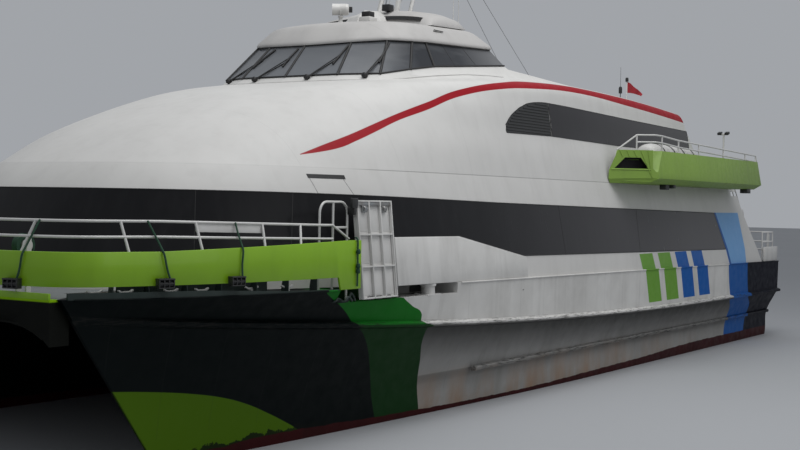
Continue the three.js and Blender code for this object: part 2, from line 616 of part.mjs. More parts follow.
const RAIL = { top: 4320, middle: 4060, foot: -130, lean: -230, radius: 22, seat: 2.2 };
const RAIL_POSTS = [2, 3, 4, 5, 7, 9, 11, 13];
function bowRail() {
  const top = offsetPath(bandPath, RAIL.lean);
  const middle = offsetPath(bandPath, (RAIL.foot + RAIL.lean) / 2 - 30);
  const foot = offsetPath(bandPath, RAIL.foot);
  const last = bandPath.length - 1;
  const kept = (i) => i > 1 && i < last - 1;
  const at = (path, z) => path.filter((_, i) => kept(i)).map(([x, y]) => [x, y, z]);
  const both = [...new Set(RAIL_POSTS.flatMap((i) => [i, last - i]))];
  const posts = both.map((i) => {
    const [x, y] = foot[i];
    return bar([x, y, deckTop(x, y) + RAIL.seat], [...top[i], RAIL.top], RAIL.radius, 5);
  });
  return join([pipe(at(top, RAIL.top), RAIL.radius), pipe(at(middle, RAIL.middle), RAIL.radius), ...posts]);
}
piece('bow_rail', bowRail(), 'white');

// Arched handrail frame ahead of each boarding ramp
const ARCH = { front: 11480, back: 10560, y: 4700, top: 4700, radius: 260 };
function gateFrame() {
  const { front, back, y, top, radius } = ARCH;
  const bend = Array.from({ length: 5 }, (_, i) => {
    const t = (i / 4) * (Math.PI / 2);
    return [front - radius + radius * Math.cos(t), y, top - radius + radius * Math.sin(t)];
  });
  const foot = (x) => [x, y, deckTop(x, y) + GAP];
  const frame = pipe([foot(front), ...bend, [back + 60, y, top], [back, y, top - 60], foot(back)], RAIL_R, 6, [0, 1, 0]);
  return join([frame, bar(foot(11040), [11040, y, top], RAIL_R, 6), bar([back, y, 3700], [11040, y, 3700], RAIL_R, 6)]);
}
bothSides('gate_frame', gateFrame(), 'white');

// Folding boarding ramp, hinged along its foot and leaning inboard
function ramp() {
  const { back, front, tall, thick, rib } = RAMP;
  const plate = box(back, front, -thick, -thick + 55, 15, tall);
  const columns = [0, 1 / 3, 2 / 3, 1].map((s) => back + s * (front - back - rib));
  const rows = [15, 640, 1280, tall - rib];
  const ribs = [
    ...columns.map((x) => box(x, x + rib, -thick + 40, 0, 15, tall)),
    ...rows.map((z) => box(back, front, -thick + 40, 0, z, z + rib)),
  ];
  const knuckles = [0.22, 0.78].map((s) => solid(new THREE.CylinderGeometry(55, 55, 90, 12)
    .rotateX(Math.PI / 2).rotateX(Math.PI / 2).translate(back + s * (front - back), -20, tall - 170)));
  const upright = join([plate, ...ribs, ...knuckles]);
  const g = geometryOf(upright).rotateX(LEAN).translate(0, HINGE[1], HINGE[2]);
  return solid(g);
}
bothSides('boarding_ramp', ramp(), 'white', HINGE);

// White side bulwark over the mooring recess: x, z at the foot, z at the top
const BULWARK = [[3300, GAP, 500], [6500, GAP, 1010], [7000, GAP, 1005], [9150, GAP, 1000]];
function sideBulwark() {
  const face = (height) => 5030 - height * 0.11;
  const rings = BULWARK.map(([x, low, high]) => {
    const z = deckZ(x);
    return [
      [x, face(low) - 50, z + low], [x, face(low), z + low],
      [x, face(high), z + high], [x, face(high) - 50, z + high],
    ];
  });
  return loft(rings, fanEnd);
}
bothSides('side_bulwark', sideBulwark(), 'white');

// Evacuation platforms on the upper deck's sides, open trays with a raked front
const TRAY = { back: -13150, inner: 4430 + GAP, outer: 5500, chine: 5600, bottom: 5382, low: 5560, top: 6330, wall: 70 };
function trayRing(points, shift) {
  const rake = (y, z) => -2450 - (y - 4400) * 0.75 - (z > 5600 ? (z - 5600) * 1.1 : (5600 - z) * 1.5);
  return points.map(([y, z]) => [shift === null ? TRAY.back + (z - 5400) * 0.2 : rake(y, z) + shift, y, z]);
}
function tray() {
  const { inner, outer, chine, bottom, low, top, wall } = TRAY;
  const skin = [[inner, bottom], [5330, bottom], [chine, 5530], [outer, top], [inner, top]];
  const room = [[inner - 300, low], [chine - wall - 20, low], [outer - wall, top + 300], [inner - 300, top + 300]];
  const body = loft([trayRing(skin, null), trayRing(skin, 0)], fanEnd);
  const hollow = loft([trayRing(room, -9990), trayRing(room, -110)], fanEnd);
  const mouth = extrudeAlongX([[4620, 5700], [5400, 5700], [5220, 6000], [4860, 6000]], -5200, -2000);
  return cut(body, [hollow, mouth]);
}
bothSides('side_platform', tray(), 'platformGreen');

const TRAY_RAIL = [[-4050, 6740], [-6000, 6760], [-8300, 6770], [-10600, 6780], [-12850, 6790]];
function trayRail() {
  const y = TRAY.outer - 35;
  const foot = TRAY.top + GAP;
  const ends = [[-3520, foot + 6], [-3640, foot + 60]];
  const top = pipe([...ends, ...TRAY_RAIL, [-12900, 6640], [-12960, foot + 6]].map(([x, z]) => [x, y, z]),
    RAIL_R, 6, [0, 1, 0]);
  const middle = pipe([TRAY_RAIL[0], TRAY_RAIL.at(-1)].map(([x, z]) => [x, y, z - 210]));
  return join([top, middle, ...TRAY_RAIL.map(([x, z]) => bar([x, y, TRAY.top + GAP], [x, y, z], RAIL_R, 5))]);
}
bothSides('platform_rail', trayRail(), 'white');

function raft() {
  const profile = [[0, -1800], [260, -1780], [400, -1650], [430, -1400], [430, 1400], [400, 1650], [260, 1780], [0, 1800]];
  const g = new THREE.LatheGeometry(profile.map(([r, h]) => new THREE.Vector2(r, h)), 14);
  g.rotateZ(Math.PI / 2).translate(-5900, 4960, 6150);
  const cradle = [-6900, -4900].map((x) => box(x - 60, x + 60, 4700, 5220, TRAY.low + GAP, 5940));
  return join([solid(g), ...cradle]);
}
bothSides('raft_canister', raft(), 'white');

// Aft decks: bulwarks, rails, stairs, lamp post, flag staff with its flag
bothSides('aft_bulwark', box(-17150, -15600, 4950, 5020, deckZ(-15600) + GAP, 3320), 'white');

function aftRail() {
  const corner = [[-15700, 4880], [-16950, 4880], [-17080, 4700]];
  const path = [...corner, [-17080, 0], ...corner.map(([x, y]) => [x, -y]).reverse()];
  const at = (z) => path.map(([x, y]) => [x, y, z]);
  const posts = [...path, [-16300, 4880], [-16300, -4880], [-17080, 2350], [-17080, -2350]];
  return join([pipe(at(3850)), pipe(at(3500)), ...posts.map(([x, y]) => bar([x, y, deckZ(x) + GAP], [x, y, 3850], RAIL_R, 5))]);
}
piece('aft_rail', aftRail(), 'white');

const STAIR = { top: -13900, foot: -16400, inner: 3300, outer: 4150, steps: 9 };
function stair() {
  const { top, foot, inner, outer, steps } = STAIR;
  const high = 5376;
  const low = deckZ(foot + 220) + GAP;
  const stringer = [[top, high], [top, high - 260], [foot + 220, low], [foot, low], [foot, low + 60], [top - 40, high]];
  const sides = [inner, outer - 40].map((y) => extrudeAlongY(stringer, y, y + 40));
  const treads = Array.from({ length: steps }, (_, i) => {
    const share = (i + 0.75) / (steps + 0.6);
    const x = foot + share * (top - foot);
    const z = low + share * (high - low);
    return box(x - 30, x + 230, inner + 10, outer - 10, z - 60, z - 20);
  });
  return join([...sides, ...treads]);
}
bothSides('stair', stair(), 'white');

function upperRail() {
  const z = LEVELS.seam.z + GAP;
  const path = [[-13300, 4330], [-13700, 4330], [-13700, -4330], [-13300, -4330]];
  const at = (height) => path.map(([x, y]) => [x, y, z + height]);
  const posts = [...path, ...[-3150, -2000, -700, 700, 2000, 3150].map((y) => [-13700, y])];
  return join([pipe(at(1080)), pipe(at(560)), ...posts.map(([x, y]) => bar([x, y, z], [x, y, z + 1080], RAIL_R, 5))]);
}
piece('upper_rail', upperRail(), 'white');

function lampPost() {
  const x = -13200;
  const y = 4200;
  const foot = LEVELS.seam.z + GAP;
  const top = 7340;
  return join([bar([x, y, foot], [x, y, top], 35, 8), bar([x, y - 130, top - 20], [x, y + 130, top - 20], 25, 6),
    box(x - 60, x + 120, y - 200, y - 60, top - 40, top + 60), box(x - 60, x + 120, y + 60, y + 200, top - 40, top + 60)]);
}
piece('lamp_post', lampPost(), 'white');

const STAFF = { x: -7300, y: 3000, foot: 7900, top: 8800, radius: 18, flagTurn: -57 };
const staff = bar([STAFF.x, STAFF.y, STAFF.foot], [STAFF.x, STAFF.y, STAFF.top], STAFF.radius, 8);
piece('flag_staff', largest(staff.subtract(moved(upperShell, 0, 0, GAP))), 'white');
const hoist = STAFF.x - STAFF.radius - GAP;
const cloth = extrudeAlongY([[hoist, 8700], [STAFF.x - 60, 8690], [STAFF.x - 380, 8390], [STAFF.x - 520, 8290],
  [hoist, 8330]], STAFF.y - 25, STAFF.y + 25);
piece('flag', cloth.translate([-STAFF.x, -STAFF.y, 0]).rotate([0, 0, STAFF.flagTurn])
  .translate([STAFF.x, STAFF.y, 0]), 'red');

// Black fenders hung outside the band: path index, share of the stretch
const FENDERS = [[11, 0.09], [6, 0.81], [4, 0.95]];
FENDERS.forEach(([i, share], n) => {
  const [a, b] = [bandPath[i], bandPath[i + 1]];
  const outerPath = offsetPath(bandPath, BAND.thick / 2);
  const [oa, ob] = [outerPath[i], outerPath[i + 1]];
  const angle = Math.atan2(b[1] - a[1], b[0] - a[0]);
  const g = new THREE.BoxGeometry(300, 130, 170).translate(0, 65 + GAP, 0).rotateZ(angle)
    .translate(oa[0] + (ob[0] - oa[0]) * share, oa[1] + (ob[1] - oa[1]) * share, 3290);
  piece(`fender_${n + 1}`, solid(g), 'rubber');
});

// Aft doors, hinged on barrels that lie against the bulkhead beside each doorway
const DOOR = { thick: 60, proud: 5, side: 9, barrel: 11.6, overhang: 15 };
function doorLeaf(x, edgeY, freeY, bottom, top) {
  const hingeY = edgeY + DOOR.overhang;
  const axisX = x - DOOR.barrel - GAP;
  const leaf = box(x - DOOR.proud, x - DOOR.proud + DOOR.thick, freeY + DOOR.side, edgeY - DOOR.side, bottom + 12, top - 8);
  const hinges = [0.2, 0.8].flatMap((share) => {
    const z = bottom + share * (top - bottom);
    return [bar([axisX, hingeY, z - 60], [axisX, hingeY, z + 60], DOOR.barrel, 8),
      box(axisX - 6, x - 2, edgeY - 90, hingeY, z - 50, z + 50)];
  });
  return join([leaf, ...hinges]);
}
const MAIN_BULKHEAD = ALCOVE.front - WALL - 20;
const hingeOf = (x, edgeY, z) => [x - DOOR.barrel - GAP, edgeY + DOOR.overhang, z];
bothSides('main_door', doorLeaf(MAIN_BULKHEAD, AFT_DOOR.half, 0, deckZ(-13000), AFT_DOOR.top), 'white',
  hingeOf(MAIN_BULKHEAD, AFT_DOOR.half, deckZ(-13000)));
piece('upper_door', doorLeaf(CASING.back, UPPER_DOOR.half, -UPPER_DOOR.half, UPPER_DOOR.bottom, UPPER_DOOR.top), 'white',
  hingeOf(CASING.back, UPPER_DOOR.half, UPPER_DOOR.bottom));

// Waterjets at the transom: a steering nozzle and a reversing bucket on each hull
function jetNozzle() {
  const ring = [[JET.bore, -17950], [JET.outer - 20, -17950], [JET.outer, -17385], [JET.bore + 20, -17385]];
  const g = new THREE.LatheGeometry([...ring, ring[0]].map(([r, x]) => new THREE.Vector2(r, x)), 20);
  g.rotateZ(-Math.PI / 2).translate(0, JET.y, JET.z);
  const posts = bar([JET.x, JET.y, JET.z + 270], [JET.x, JET.y, JET.z + JET.post], 60, 10)
    .add(bar([JET.x, JET.y, JET.z - JET.post], [JET.x, JET.y, JET.z - 270], 60, 10));
  const pins = [1, -1].map((side) => bar([JET.pivot, JET.y + side * 260, JET.z], [JET.pivot, JET.y + side * 329, JET.z], 30, 10));
  return join([solid(g), posts, ...pins]);
}
bothSides('jet_nozzle', jetNozzle(), 'steel', [JET.x, JET.y, JET.z]);

// The flange that each jet leaves the transom by, with the lugs that hold its nozzle
function jetFlange() {
  const [back, front] = [TRANSOM - 45, TRANSOM - GAP];
  const ring = [[265, back], [430, back], [430, front], [265, front], [265, back]];
  const g = new THREE.LatheGeometry(ring.map(([r, x]) => new THREE.Vector2(r, x)), 20);
  g.rotateZ(-Math.PI / 2).translate(0, JET.y, JET.z);
  const reach = JET.post + GAP;
  const lugs = [[reach, reach + 45], [-reach - 45, -reach]].map(([low, high]) =>
    box(JET.x - 60, front - 10, JET.y - 80, JET.y + 80, JET.z + low, JET.z + high));
  return join([solid(g), ...lugs]);
}
bothSides('jet_flange', jetFlange(), 'steel');

function jetBucket() {
  const arc = (r, from, to, steps) => Array.from({ length: steps + 1 }, (_, i) => {
    const t = THREE.MathUtils.degToRad(from + ((to - from) * i) / steps);
    return [JET.pivot - r * Math.cos(t), JET.z + r * Math.sin(t)];
  });
  const shell = extrudeAlongY([...arc(400, 25, 110, 6), ...arc(365, 110, 25, 6)], JET.y - 350, JET.y + 350);
  const cheek = [[JET.pivot - 60, JET.z - 40], [JET.pivot + 60, JET.z - 20], ...arc(380, 110, 25, 6)];
  const cheeks = [1, -1].map((side) => extrudeAlongY(cheek,
    JET.y + (side > 0 ? 329.4 : -349.4), JET.y + (side > 0 ? 349.4 : -329.4)));
  return join([shell, ...cheeks]);
}
bothSides('jet_bucket', jetBucket(), 'steel', [JET.pivot, JET.y, JET.z]);

export default ferry;
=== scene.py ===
"""Looks of a passenger catamaran: paint, glass, rails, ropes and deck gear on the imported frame."""

import math

import bmesh
import bpy
from mathutils import Matrix, Vector
from mathutils.bvhtree import BVHTree


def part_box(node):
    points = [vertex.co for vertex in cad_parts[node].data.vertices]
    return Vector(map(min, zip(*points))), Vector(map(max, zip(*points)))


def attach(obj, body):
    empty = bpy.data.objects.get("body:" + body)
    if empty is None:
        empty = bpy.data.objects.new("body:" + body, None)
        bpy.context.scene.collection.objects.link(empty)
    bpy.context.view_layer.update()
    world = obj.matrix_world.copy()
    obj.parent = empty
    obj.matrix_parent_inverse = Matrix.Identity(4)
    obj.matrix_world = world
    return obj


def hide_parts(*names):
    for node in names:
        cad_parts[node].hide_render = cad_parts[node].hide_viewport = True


bl_info = {
    "name": "Catamaran Ferry Looks",
    "version": (1, 0, 0),
    "blender": (4, 5, 0),
    "location": "3D View > Sidebar > Ferry",
    "description": "Builds the visual pieces of a fast passenger catamaran on its packed frame",
    "category": "Object",
}

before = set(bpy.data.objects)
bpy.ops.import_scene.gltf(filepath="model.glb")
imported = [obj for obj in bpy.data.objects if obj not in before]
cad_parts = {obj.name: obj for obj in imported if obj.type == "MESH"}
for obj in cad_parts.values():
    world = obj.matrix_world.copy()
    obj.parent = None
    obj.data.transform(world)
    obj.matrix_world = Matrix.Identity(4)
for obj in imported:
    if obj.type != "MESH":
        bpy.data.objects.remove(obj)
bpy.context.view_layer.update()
SIDES = {"port": 1, "starboard": -1}


# ---- The ship's lines, in metres: X forward, Y to port, Z up from the water ----

TRANSOM = -17.2
HULL_CENTRE = 3.7
UPPER_DECK_Z = 5.38


def deck_z(x):
    return 2.92 + 0.008 * x


def strake_z(x):
    return 1.68 + 0.0015 * max(0.0, x + 9.0) ** 2


def crown(x):
    return -0.0035 * (x + 2.0) ** 2


# stem x, stem y, offset at the transom, straight share, fullness, height
HULL_LINES = (
    (13.90, 0.000, 0.000, 0.80, 2.0, lambda x: -1.25),
    (14.25, 0.020, 0.780, 0.45, 1.7, lambda x: -0.76),
    (14.92, 0.025, 0.900, 0.50, 1.6, lambda x: 0.15),
    (15.48, 0.030, 0.930, 0.55, 1.8, lambda x: 0.88),
    (16.78, 0.035, 1.290, 0.62, 2.2, lambda x: strake_z(x) - 0.07),
    (16.82, 0.040, 1.450, 0.62, 2.2, lambda x: strake_z(x) - 0.03),
    (16.86, 0.040, 1.450, 0.62, 2.2, lambda x: strake_z(x) + 0.05),
    (16.88, 0.035, 1.330, 0.62, 2.2, lambda x: strake_z(x) + 0.09),
    (17.10, 0.045, 1.350, 0.78, 3.0, deck_z),
    (17.10, -0.045, -1.100, 0.86, 3.0, deck_z),
    (15.95, -0.030, -0.950, 0.60, 2.0, lambda x: 1.5),
    (14.92, -0.025, -0.860, 0.50, 1.6, lambda x: 0.15),
    (14.25, -0.020, -0.740, 0.45, 1.7, lambda x: -0.76),
)


# which of HULL_LINES is the deck's edge
DECK_LINE = 8


def hull_offset(line, share):
    """How far out a hull line lies at this share of its run from the transom to the stem."""
    _, stem_y, offset, straight, fullness, _ = line
    bend = max(0.0, (share - straight) / (1.0 - straight)) ** fullness
    return HULL_CENTRE + offset + (stem_y - offset) * bend


def hull_point(line, share):
    x = TRANSOM + share * (line[0] - TRANSOM)
    return (x, hull_offset(line, share), line[-1](x))


def deck_edge(x):
    """How far out the deck's edge lies at this x."""
    line = HULL_LINES[DECK_LINE]
    return hull_offset(line, (x - TRANSOM) / (line[0] - TRANSOM))


# front x, start x, half breadth, back x, side height at x = 0, slope, crown share, front height
DECK = (15.15, 4.5, 4.96, -15.45, 2.92, 0.008, 0.0, 3.041)
SILL = (15.00, 4.5, 4.90, -15.05, 3.44, 0.010, 0.0, 3.590)
HEAD = (14.40, 4.3, 4.62, -14.25, 4.69, 0.013, 0.0, 4.877)
SEAM = (13.75, 3.9, 4.43, -13.80, UPPER_DECK_Z, 0.0, 0.0, UPPER_DECK_Z)
UPPER = (
    (13.75, 3.9, 4.43, -11.00, UPPER_DECK_Z, 0.0, 0.0, UPPER_DECK_Z),
    (12.60, 2.5, 4.30, -10.70, 5.98, 0.0, 0.0, 6.02),
    (11.10, 0.9, 4.15, -10.40, 6.57, 0.0, 0.0, 6.60),
    (9.50, -0.5, 4.03, -9.95, 7.33, 0.0, 0.45, 7.08),
    (8.30, -1.5, 3.86, -9.70, 7.96, 0.0, 1.0, 7.33),
    (7.40, -1.5, 3.25, -9.60, 8.14, 0.0, 1.0, 7.48),
)


def plan_point(level, t, inset=0.0, drop=0.0):
    """t is 0 at the front on the centre line, 1 where the straight side starts, 2 at the aft corner."""
    front, start, half, back, z, slope, hump, front_z = level
    tip = front
    front, half, back = front - inset, half - inset, back + inset
    if t <= 1.0:
        angle = t * math.pi / 2
        x = start + (front - start) * max(0.0, math.cos(angle)) ** (2 / 3)
        y = half * math.sin(angle) ** (2 / 3)
    else:
        x, y = start + (back - start) * (t - 1.0), half
    side = z + slope * x + hump * crown(min(x, 0.0))
    share = max(0.0, (x - start) / (tip - start)) ** 1.4
    return (x, y, side + (front_z - side) * min(1.0, share) - drop)


# x, y, z at the sill and at the head of each corner of the wheelhouse, from the centre line aft
WHEELHOUSE = (
    (6.57, 0.00, 7.700, 5.75, 0.00, 8.570),
    (6.43, 1.45, 7.715, 5.54, 1.23, 8.610),
    (5.96, 2.35, 7.740, 5.11, 1.98, 8.665),
    (5.00, 2.59, 7.930, 4.45, 2.27, 8.690),
    (4.00, 2.65, 8.090, 3.90, 2.31, 8.730),
    (0.30, 2.62, 8.470, 0.65, 2.33, 8.890),
)
# t at each of those corners
WHEEL_STOPS = (0.0, 2 / 7, 4 / 7, 5 / 7, 6 / 7, 2.0)
# the point that the wheelhouse shrinks toward when it is inset, and how far it lies from the walls
WHEEL_MIDDLE, WHEEL_REACH = 3.2, 2.5
ROOF_RISE = 0.6


def wheel_corners(head):
    return [tuple(a + (b - a) * head for a, b in zip(c[:3], c[3:])) for c in WHEELHOUSE]


def height_along(corners, x):
    k = next((i for i, c in enumerate(corners) if c[0] <= x), -1)
    k = len(corners) - 2 if k < 0 else max(0, k - 1)
    (x0, _, z0), (x1, _, z1) = corners[k], corners[k + 1]
    return z0 + (z1 - z0) * (x - x0) / (x1 - x0)


def wheel_point(head, t, inset=0.0, lift=0.0):
    corners = wheel_corners(head)
    k = min(4, sum(1 for stop in WHEEL_STOPS[1:] if t >= stop - 1e-9))
    share = (t - WHEEL_STOPS[k]) / (WHEEL_STOPS[k + 1] - WHEEL_STOPS[k])
    x, y, _ = (a + (b - a) * share for a, b in zip(corners[k], corners[k + 1]))
    shrink = inset / WHEEL_REACH
    x, y = x - (x - WHEEL_MIDDLE) * shrink, y * (1 - shrink)
    return (x, y, height_along(corners, x) + lift)


def roof_z(x):
    return height_along(wheel_corners(1.0), x) + ROOF_RISE


def spread(low, high, count):
    return [low + (high - low) * i / (count - 1) for i in range(count)]


FRONT_T = spread(0.0, 1.0, 43)
SIDE_T = spread(1.0, 2.0, 25)
ALL_T = FRONT_T + SIDE_T[1:]


def flipped(line):
    """The same points on the other side of the ship."""
    return [(x, -y, z) for x, y, z in line]


def both_halves(line):
    """A line from the centre line to port, led by its mirror image."""
    return flipped(reversed(line[1:])) + line


def ring(point, stops=ALL_T):
    """A closed ring from a function of t: the centre line first, then port, then starboard back to it."""
    port = [point(t) for t in stops]
    return port + flipped(reversed(port[1:]))


def between(low, high, share):
    return [tuple(a + (b - a) * share for a, b in zip(p, q)) for p, q in zip(low, high)]


def spline(points, share):
    """A smooth curve through points, at share steps along them (Catmull-Rom)."""
    k = min(len(points) - 2, max(0, int(share)))
    f = share - k
    p1, p2 = Vector(points[k]), Vector(points[k + 1])
    p0 = Vector(points[k - 1]) if k else 2 * p1 - p2
    p3 = Vector(points[k + 2]) if k + 2 < len(points) else 2 * p2 - p1
    return 0.5 * (2 * p1 + (p2 - p0) * f + (2 * p0 - 5 * p1 + 4 * p2 - p3) * f * f
                  + (3 * p1 - 3 * p2 + p3 - p0) * f * f * f)


def smooth_line(points, count):
    return [tuple(spline(points, s)) for s in spread(0.0, len(points) - 1.0, count)]


def dome_point(v, t):
    """The upper house's skin; v counts the levels of UPPER from the seam to the roof's edge."""
    return tuple(spline([plan_point(level, t) for level in UPPER], v))


def wall_point(v, t):
    """The main house's skin, v from the deck through sill and head to the seam."""
    levels = (DECK, SILL, HEAD, SEAM)
    k = min(2, int(v))
    low, high = plan_point(levels[k], t), plan_point(levels[k + 1], t)
    return tuple(a + (b - a) * (v - k) for a, b in zip(low, high))


def halved(test, low, high, turns):
    """Where between low and high a test stops being true."""
    for _ in range(turns):
        middle = (low + high) / 2
        low, high = (middle, high) if test(middle) else (low, middle)
    return middle


def on_wall(surface, x, z, low, high):
    """v and t of the point of a wall that has this x and z."""
    t = 1.0
    for _ in range(8):
        v = halved(lambda level: surface(level, t)[2] < z, low, high, 14)
        t = halved(lambda stop: surface(v, stop)[0] > x, 0.0, 2.0, 14)
    return v, t


def outward(surface, v, t):
    """The direction that a wall faces on the port side."""
    step = 0.004
    up = Vector(surface(v + step, t)) - Vector(surface(v - step, t))
    t = min(max(t, step), 2.0 - step)
    aft = Vector(surface(v, t + step)) - Vector(surface(v, t - step))
    facing = up.cross(aft).normalized()
    return facing if facing.y >= 0 else -facing


# the levels of UPPER between which its windows lie
WINDOW_LEVELS = (1.2, 4.2)


def dome_spot(x, z):
    """The point of the upper house's side with this x and z, and the direction that it faces."""
    v, t = on_wall(dome_point, x, z, *WINDOW_LEVELS)
    return Vector(dome_point(v, t)), outward(dome_point, v, t)


def on_dome(x, z, proud):
    point, facing = dome_spot(x, z)
    return tuple(point + facing * proud)


def distances(points):
    """How far along a line each of its points lies."""
    steps = [0.0]
    for a, b in zip(points, points[1:]):
        steps.append(steps[-1] + (Vector(b) - Vector(a)).length)
    return steps


SURFACES = {}


def top_of(node, x, y, start=20.0):
    """Height of a CAD node's surface straight below a point."""
    if node not in SURFACES:
        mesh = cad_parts[node].data
        SURFACES[node] = BVHTree.FromPolygons([v.co for v in mesh.vertices],
                                              [p.vertices for p in mesh.polygons])
    return SURFACES[node].ray_cast(Vector((x, y, start)), Vector((0, 0, -1)))[0].z


# ---- Meshes ----


def loft(rings, ends="fan"):
    """Points and faces of the skin through rings of equally many points."""
    n = len(rings[0])
    points = [tuple(p) for one in rings for p in one]
    faces = []
    for r in range(len(rings) - 1):
        for i in range(n):
            j = (i + 1) % n
            faces.append((r * n + i, r * n + j, (r + 1) * n + j, (r + 1) * n + i))
    top = (len(rings) - 1) * n
    if ends == "fan":
        faces += [tuple(range(n)), tuple(top + i for i in range(n))]
    elif ends == "pairs":
        half = (n - 1) // 2
        for base in (0, top):
            faces.append((base, base + 1, base + n - 1))
            faces += [(base + j, base + j + 1, base + n - j - 1, base + n - j) for j in range(1, half)]
    return points, faces


def block(x0, x1, y0, y1, z0, z1):
    corners = [(x, y, z) for z in (z0, z1) for x, y in ((x0, y0), (x1, y0), (x1, y1), (x0, y1))]
    return corners, [(0, 1, 2, 3), (4, 5, 6, 7), (0, 1, 5, 4), (1, 2, 6, 5), (2, 3, 7, 6), (3, 0, 4, 7)]


def turned(profile, axis_point, axis=(1, 0, 0), sides=32, closed=False):
    """A profile of (radius, distance along the axis) turned about the axis."""
    turn = Vector((0, 0, 1)).rotation_difference(Vector(axis)).to_matrix()
    centre = Vector(axis_point)
    rings = []
    for radius, along in profile:
        rings.append([tuple(centre + turn @ Vector((radius * math.cos(a), radius * math.sin(a), along)))
                      for a in (2 * math.pi * i / sides for i in range(sides))])
    if closed:
        rings.append(rings[0])
    return loft(rings, "none" if closed else "fan")


def swept(outline, path, up=(0, 0, 1)):
    """A closed outline of (sideways, upward) offsets carried along a path."""
    rings = []
    for i, point in enumerate(path):
        along = (Vector(path[min(i + 1, len(path) - 1)]) - Vector(path[max(i - 1, 0)])).normalized()
        side = Vector(up).cross(along).normalized()
        rise = along.cross(side)
        rings.append([tuple(Vector(point) + side * a + rise * b) for a, b in outline])
    return loft(rings)


def moved(part, matrix):
    points, faces = part
    return [tuple(matrix @ Vector(p)) for p in points], faces


def mirrored(part):
    points, faces = part
    return flipped(points), [tuple(reversed(f)) for f in faces]


# angle in radians past which an edge is rounded, in shapes made here and in the CAD's own
MADE_EDGE, CAD_EDGE = 0.45, 0.5


def mesh_from(bm, name, bevel, least):
    """A mesh from a bmesh, rounded at the edges whose faces turn by more than the least angle."""
    if bevel:
        edges = [e for e in bm.edges if len(e.link_faces) == 2 and e.calc_face_angle(0.0) > least]
        bmesh.ops.bevel(bm, geom=edges, offset=bevel, segments=2, profile=0.5, affect="EDGES",
                        clamp_overlap=True)
    mesh = bpy.data.meshes.new(name)
    bm.to_mesh(mesh)
    bm.free()
    return mesh


def mesh_of(name, parts, weld=1e-5, bevel=0.0):
    """A mesh from parts of (points, faces), with its faces outward."""
    bm = bmesh.new()
    for points, faces in parts:
        verts = [bm.verts.new(p) for p in points]
        for face in faces:
            try:
                bm.faces.new([verts[i] for i in face])
            except ValueError:
                continue
    if weld:
        bmesh.ops.remove_doubles(bm, verts=bm.verts, dist=weld)
    bmesh.ops.dissolve_degenerate(bm, dist=1e-6, edges=bm.edges)
    bmesh.ops.recalc_face_normals(bm, faces=bm.faces)
    return mesh_from(bm, name, bevel, MADE_EDGE)


def settle(name, mesh, materials, body="ship", replaces=(), sharp=32):
    """Makes a finished piece of a mesh: its paint, the body that it rides on and what it stands for."""
    mesh.materials.clear()
    for one in materials if isinstance(materials, (list, tuple)) else [materials]:
        mesh.materials.append(one)
    mesh.polygons.foreach_set("use_smooth", [True] * len(mesh.polygons))
    mesh.set_sharp_from_angle(angle=math.radians(sharp))
    mesh.update()
    piece = bpy.data.objects.new(name, mesh)
    bpy.context.scene.collection.objects.link(piece)
    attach(piece, body)
    if replaces:
        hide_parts(*replaces)
    return piece


def put(name, parts, materials, body="ship", slot=None, replaces=(), sharp=32, bevel=0.0, weld=1e-5):
    return settle(name, mesh_of(name, parts, weld, bevel), materials, body, replaces, sharp)


def put_both(name, parts, materials, body="ship", slot=None, replaces=(), **more):
    """The piece to port and its mirror image to starboard; a body or node named with a star has a side."""
    for side, sign in SIDES.items():
        shapes = parts if sign > 0 else [mirrored(p) for p in parts]
        put(f"{name}_{side}", shapes, materials, body.replace("*", side), slot,
            [n.replace("*", side) for n in replaces], **more)


def carved(parts, cutters, joined=()):
    """One solid with others joined to it and others taken out of it, as points and faces."""
    temps = []

    def temp(shapes):
        holder = bpy.data.objects.new("temp", mesh_of("temp", shapes))
        bpy.context.scene.collection.objects.link(holder)
        temps.append(holder)
        return holder

    body = temp(parts)
    for kind, tools in (("UNION", joined), ("DIFFERENCE", cutters)):
        for tool in tools:
            step = body.modifiers.new("step", "BOOLEAN")
            step.operation, step.solver, step.object = kind, "EXACT", temp([tool])
    graph = bpy.context.evaluated_depsgraph_get()
    result = bpy.data.meshes.new_from_object(body.evaluated_get(graph))
    shape = ([tuple(v.co) for v in result.vertices], [tuple(p.vertices) for p in result.polygons])
    for holder in temps:
        bpy.data.objects.remove(holder)
    return shape


def cad_bmesh(node):
    """A CAD node's own shape with its flats cleaned up."""
    bm = bmesh.new()
    bm.from_mesh(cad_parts[node].data)
    bmesh.ops.remove_doubles(bm, verts=bm.verts, dist=1e-4)
    bmesh.ops.dissolve_limit(bm, angle_limit=math.radians(1.5), verts=bm.verts, edges=bm.edges)
    return bm


def dressed(node, material, body="ship", bevel=0.004, name=None, sharp=32):
    """A piece with a CAD node's own shape, its edges rounded."""
    bm = cad_bmesh(node)
    bmesh.ops.recalc_face_normals(bm, faces=bm.faces)
    return settle(name or f"{node}_shell", mesh_from(bm, node, bevel, CAD_EDGE), material, body, [node],
                  sharp)


# ---- Geometry Nodes: round bars along lines, and shapes repeated along lines ----


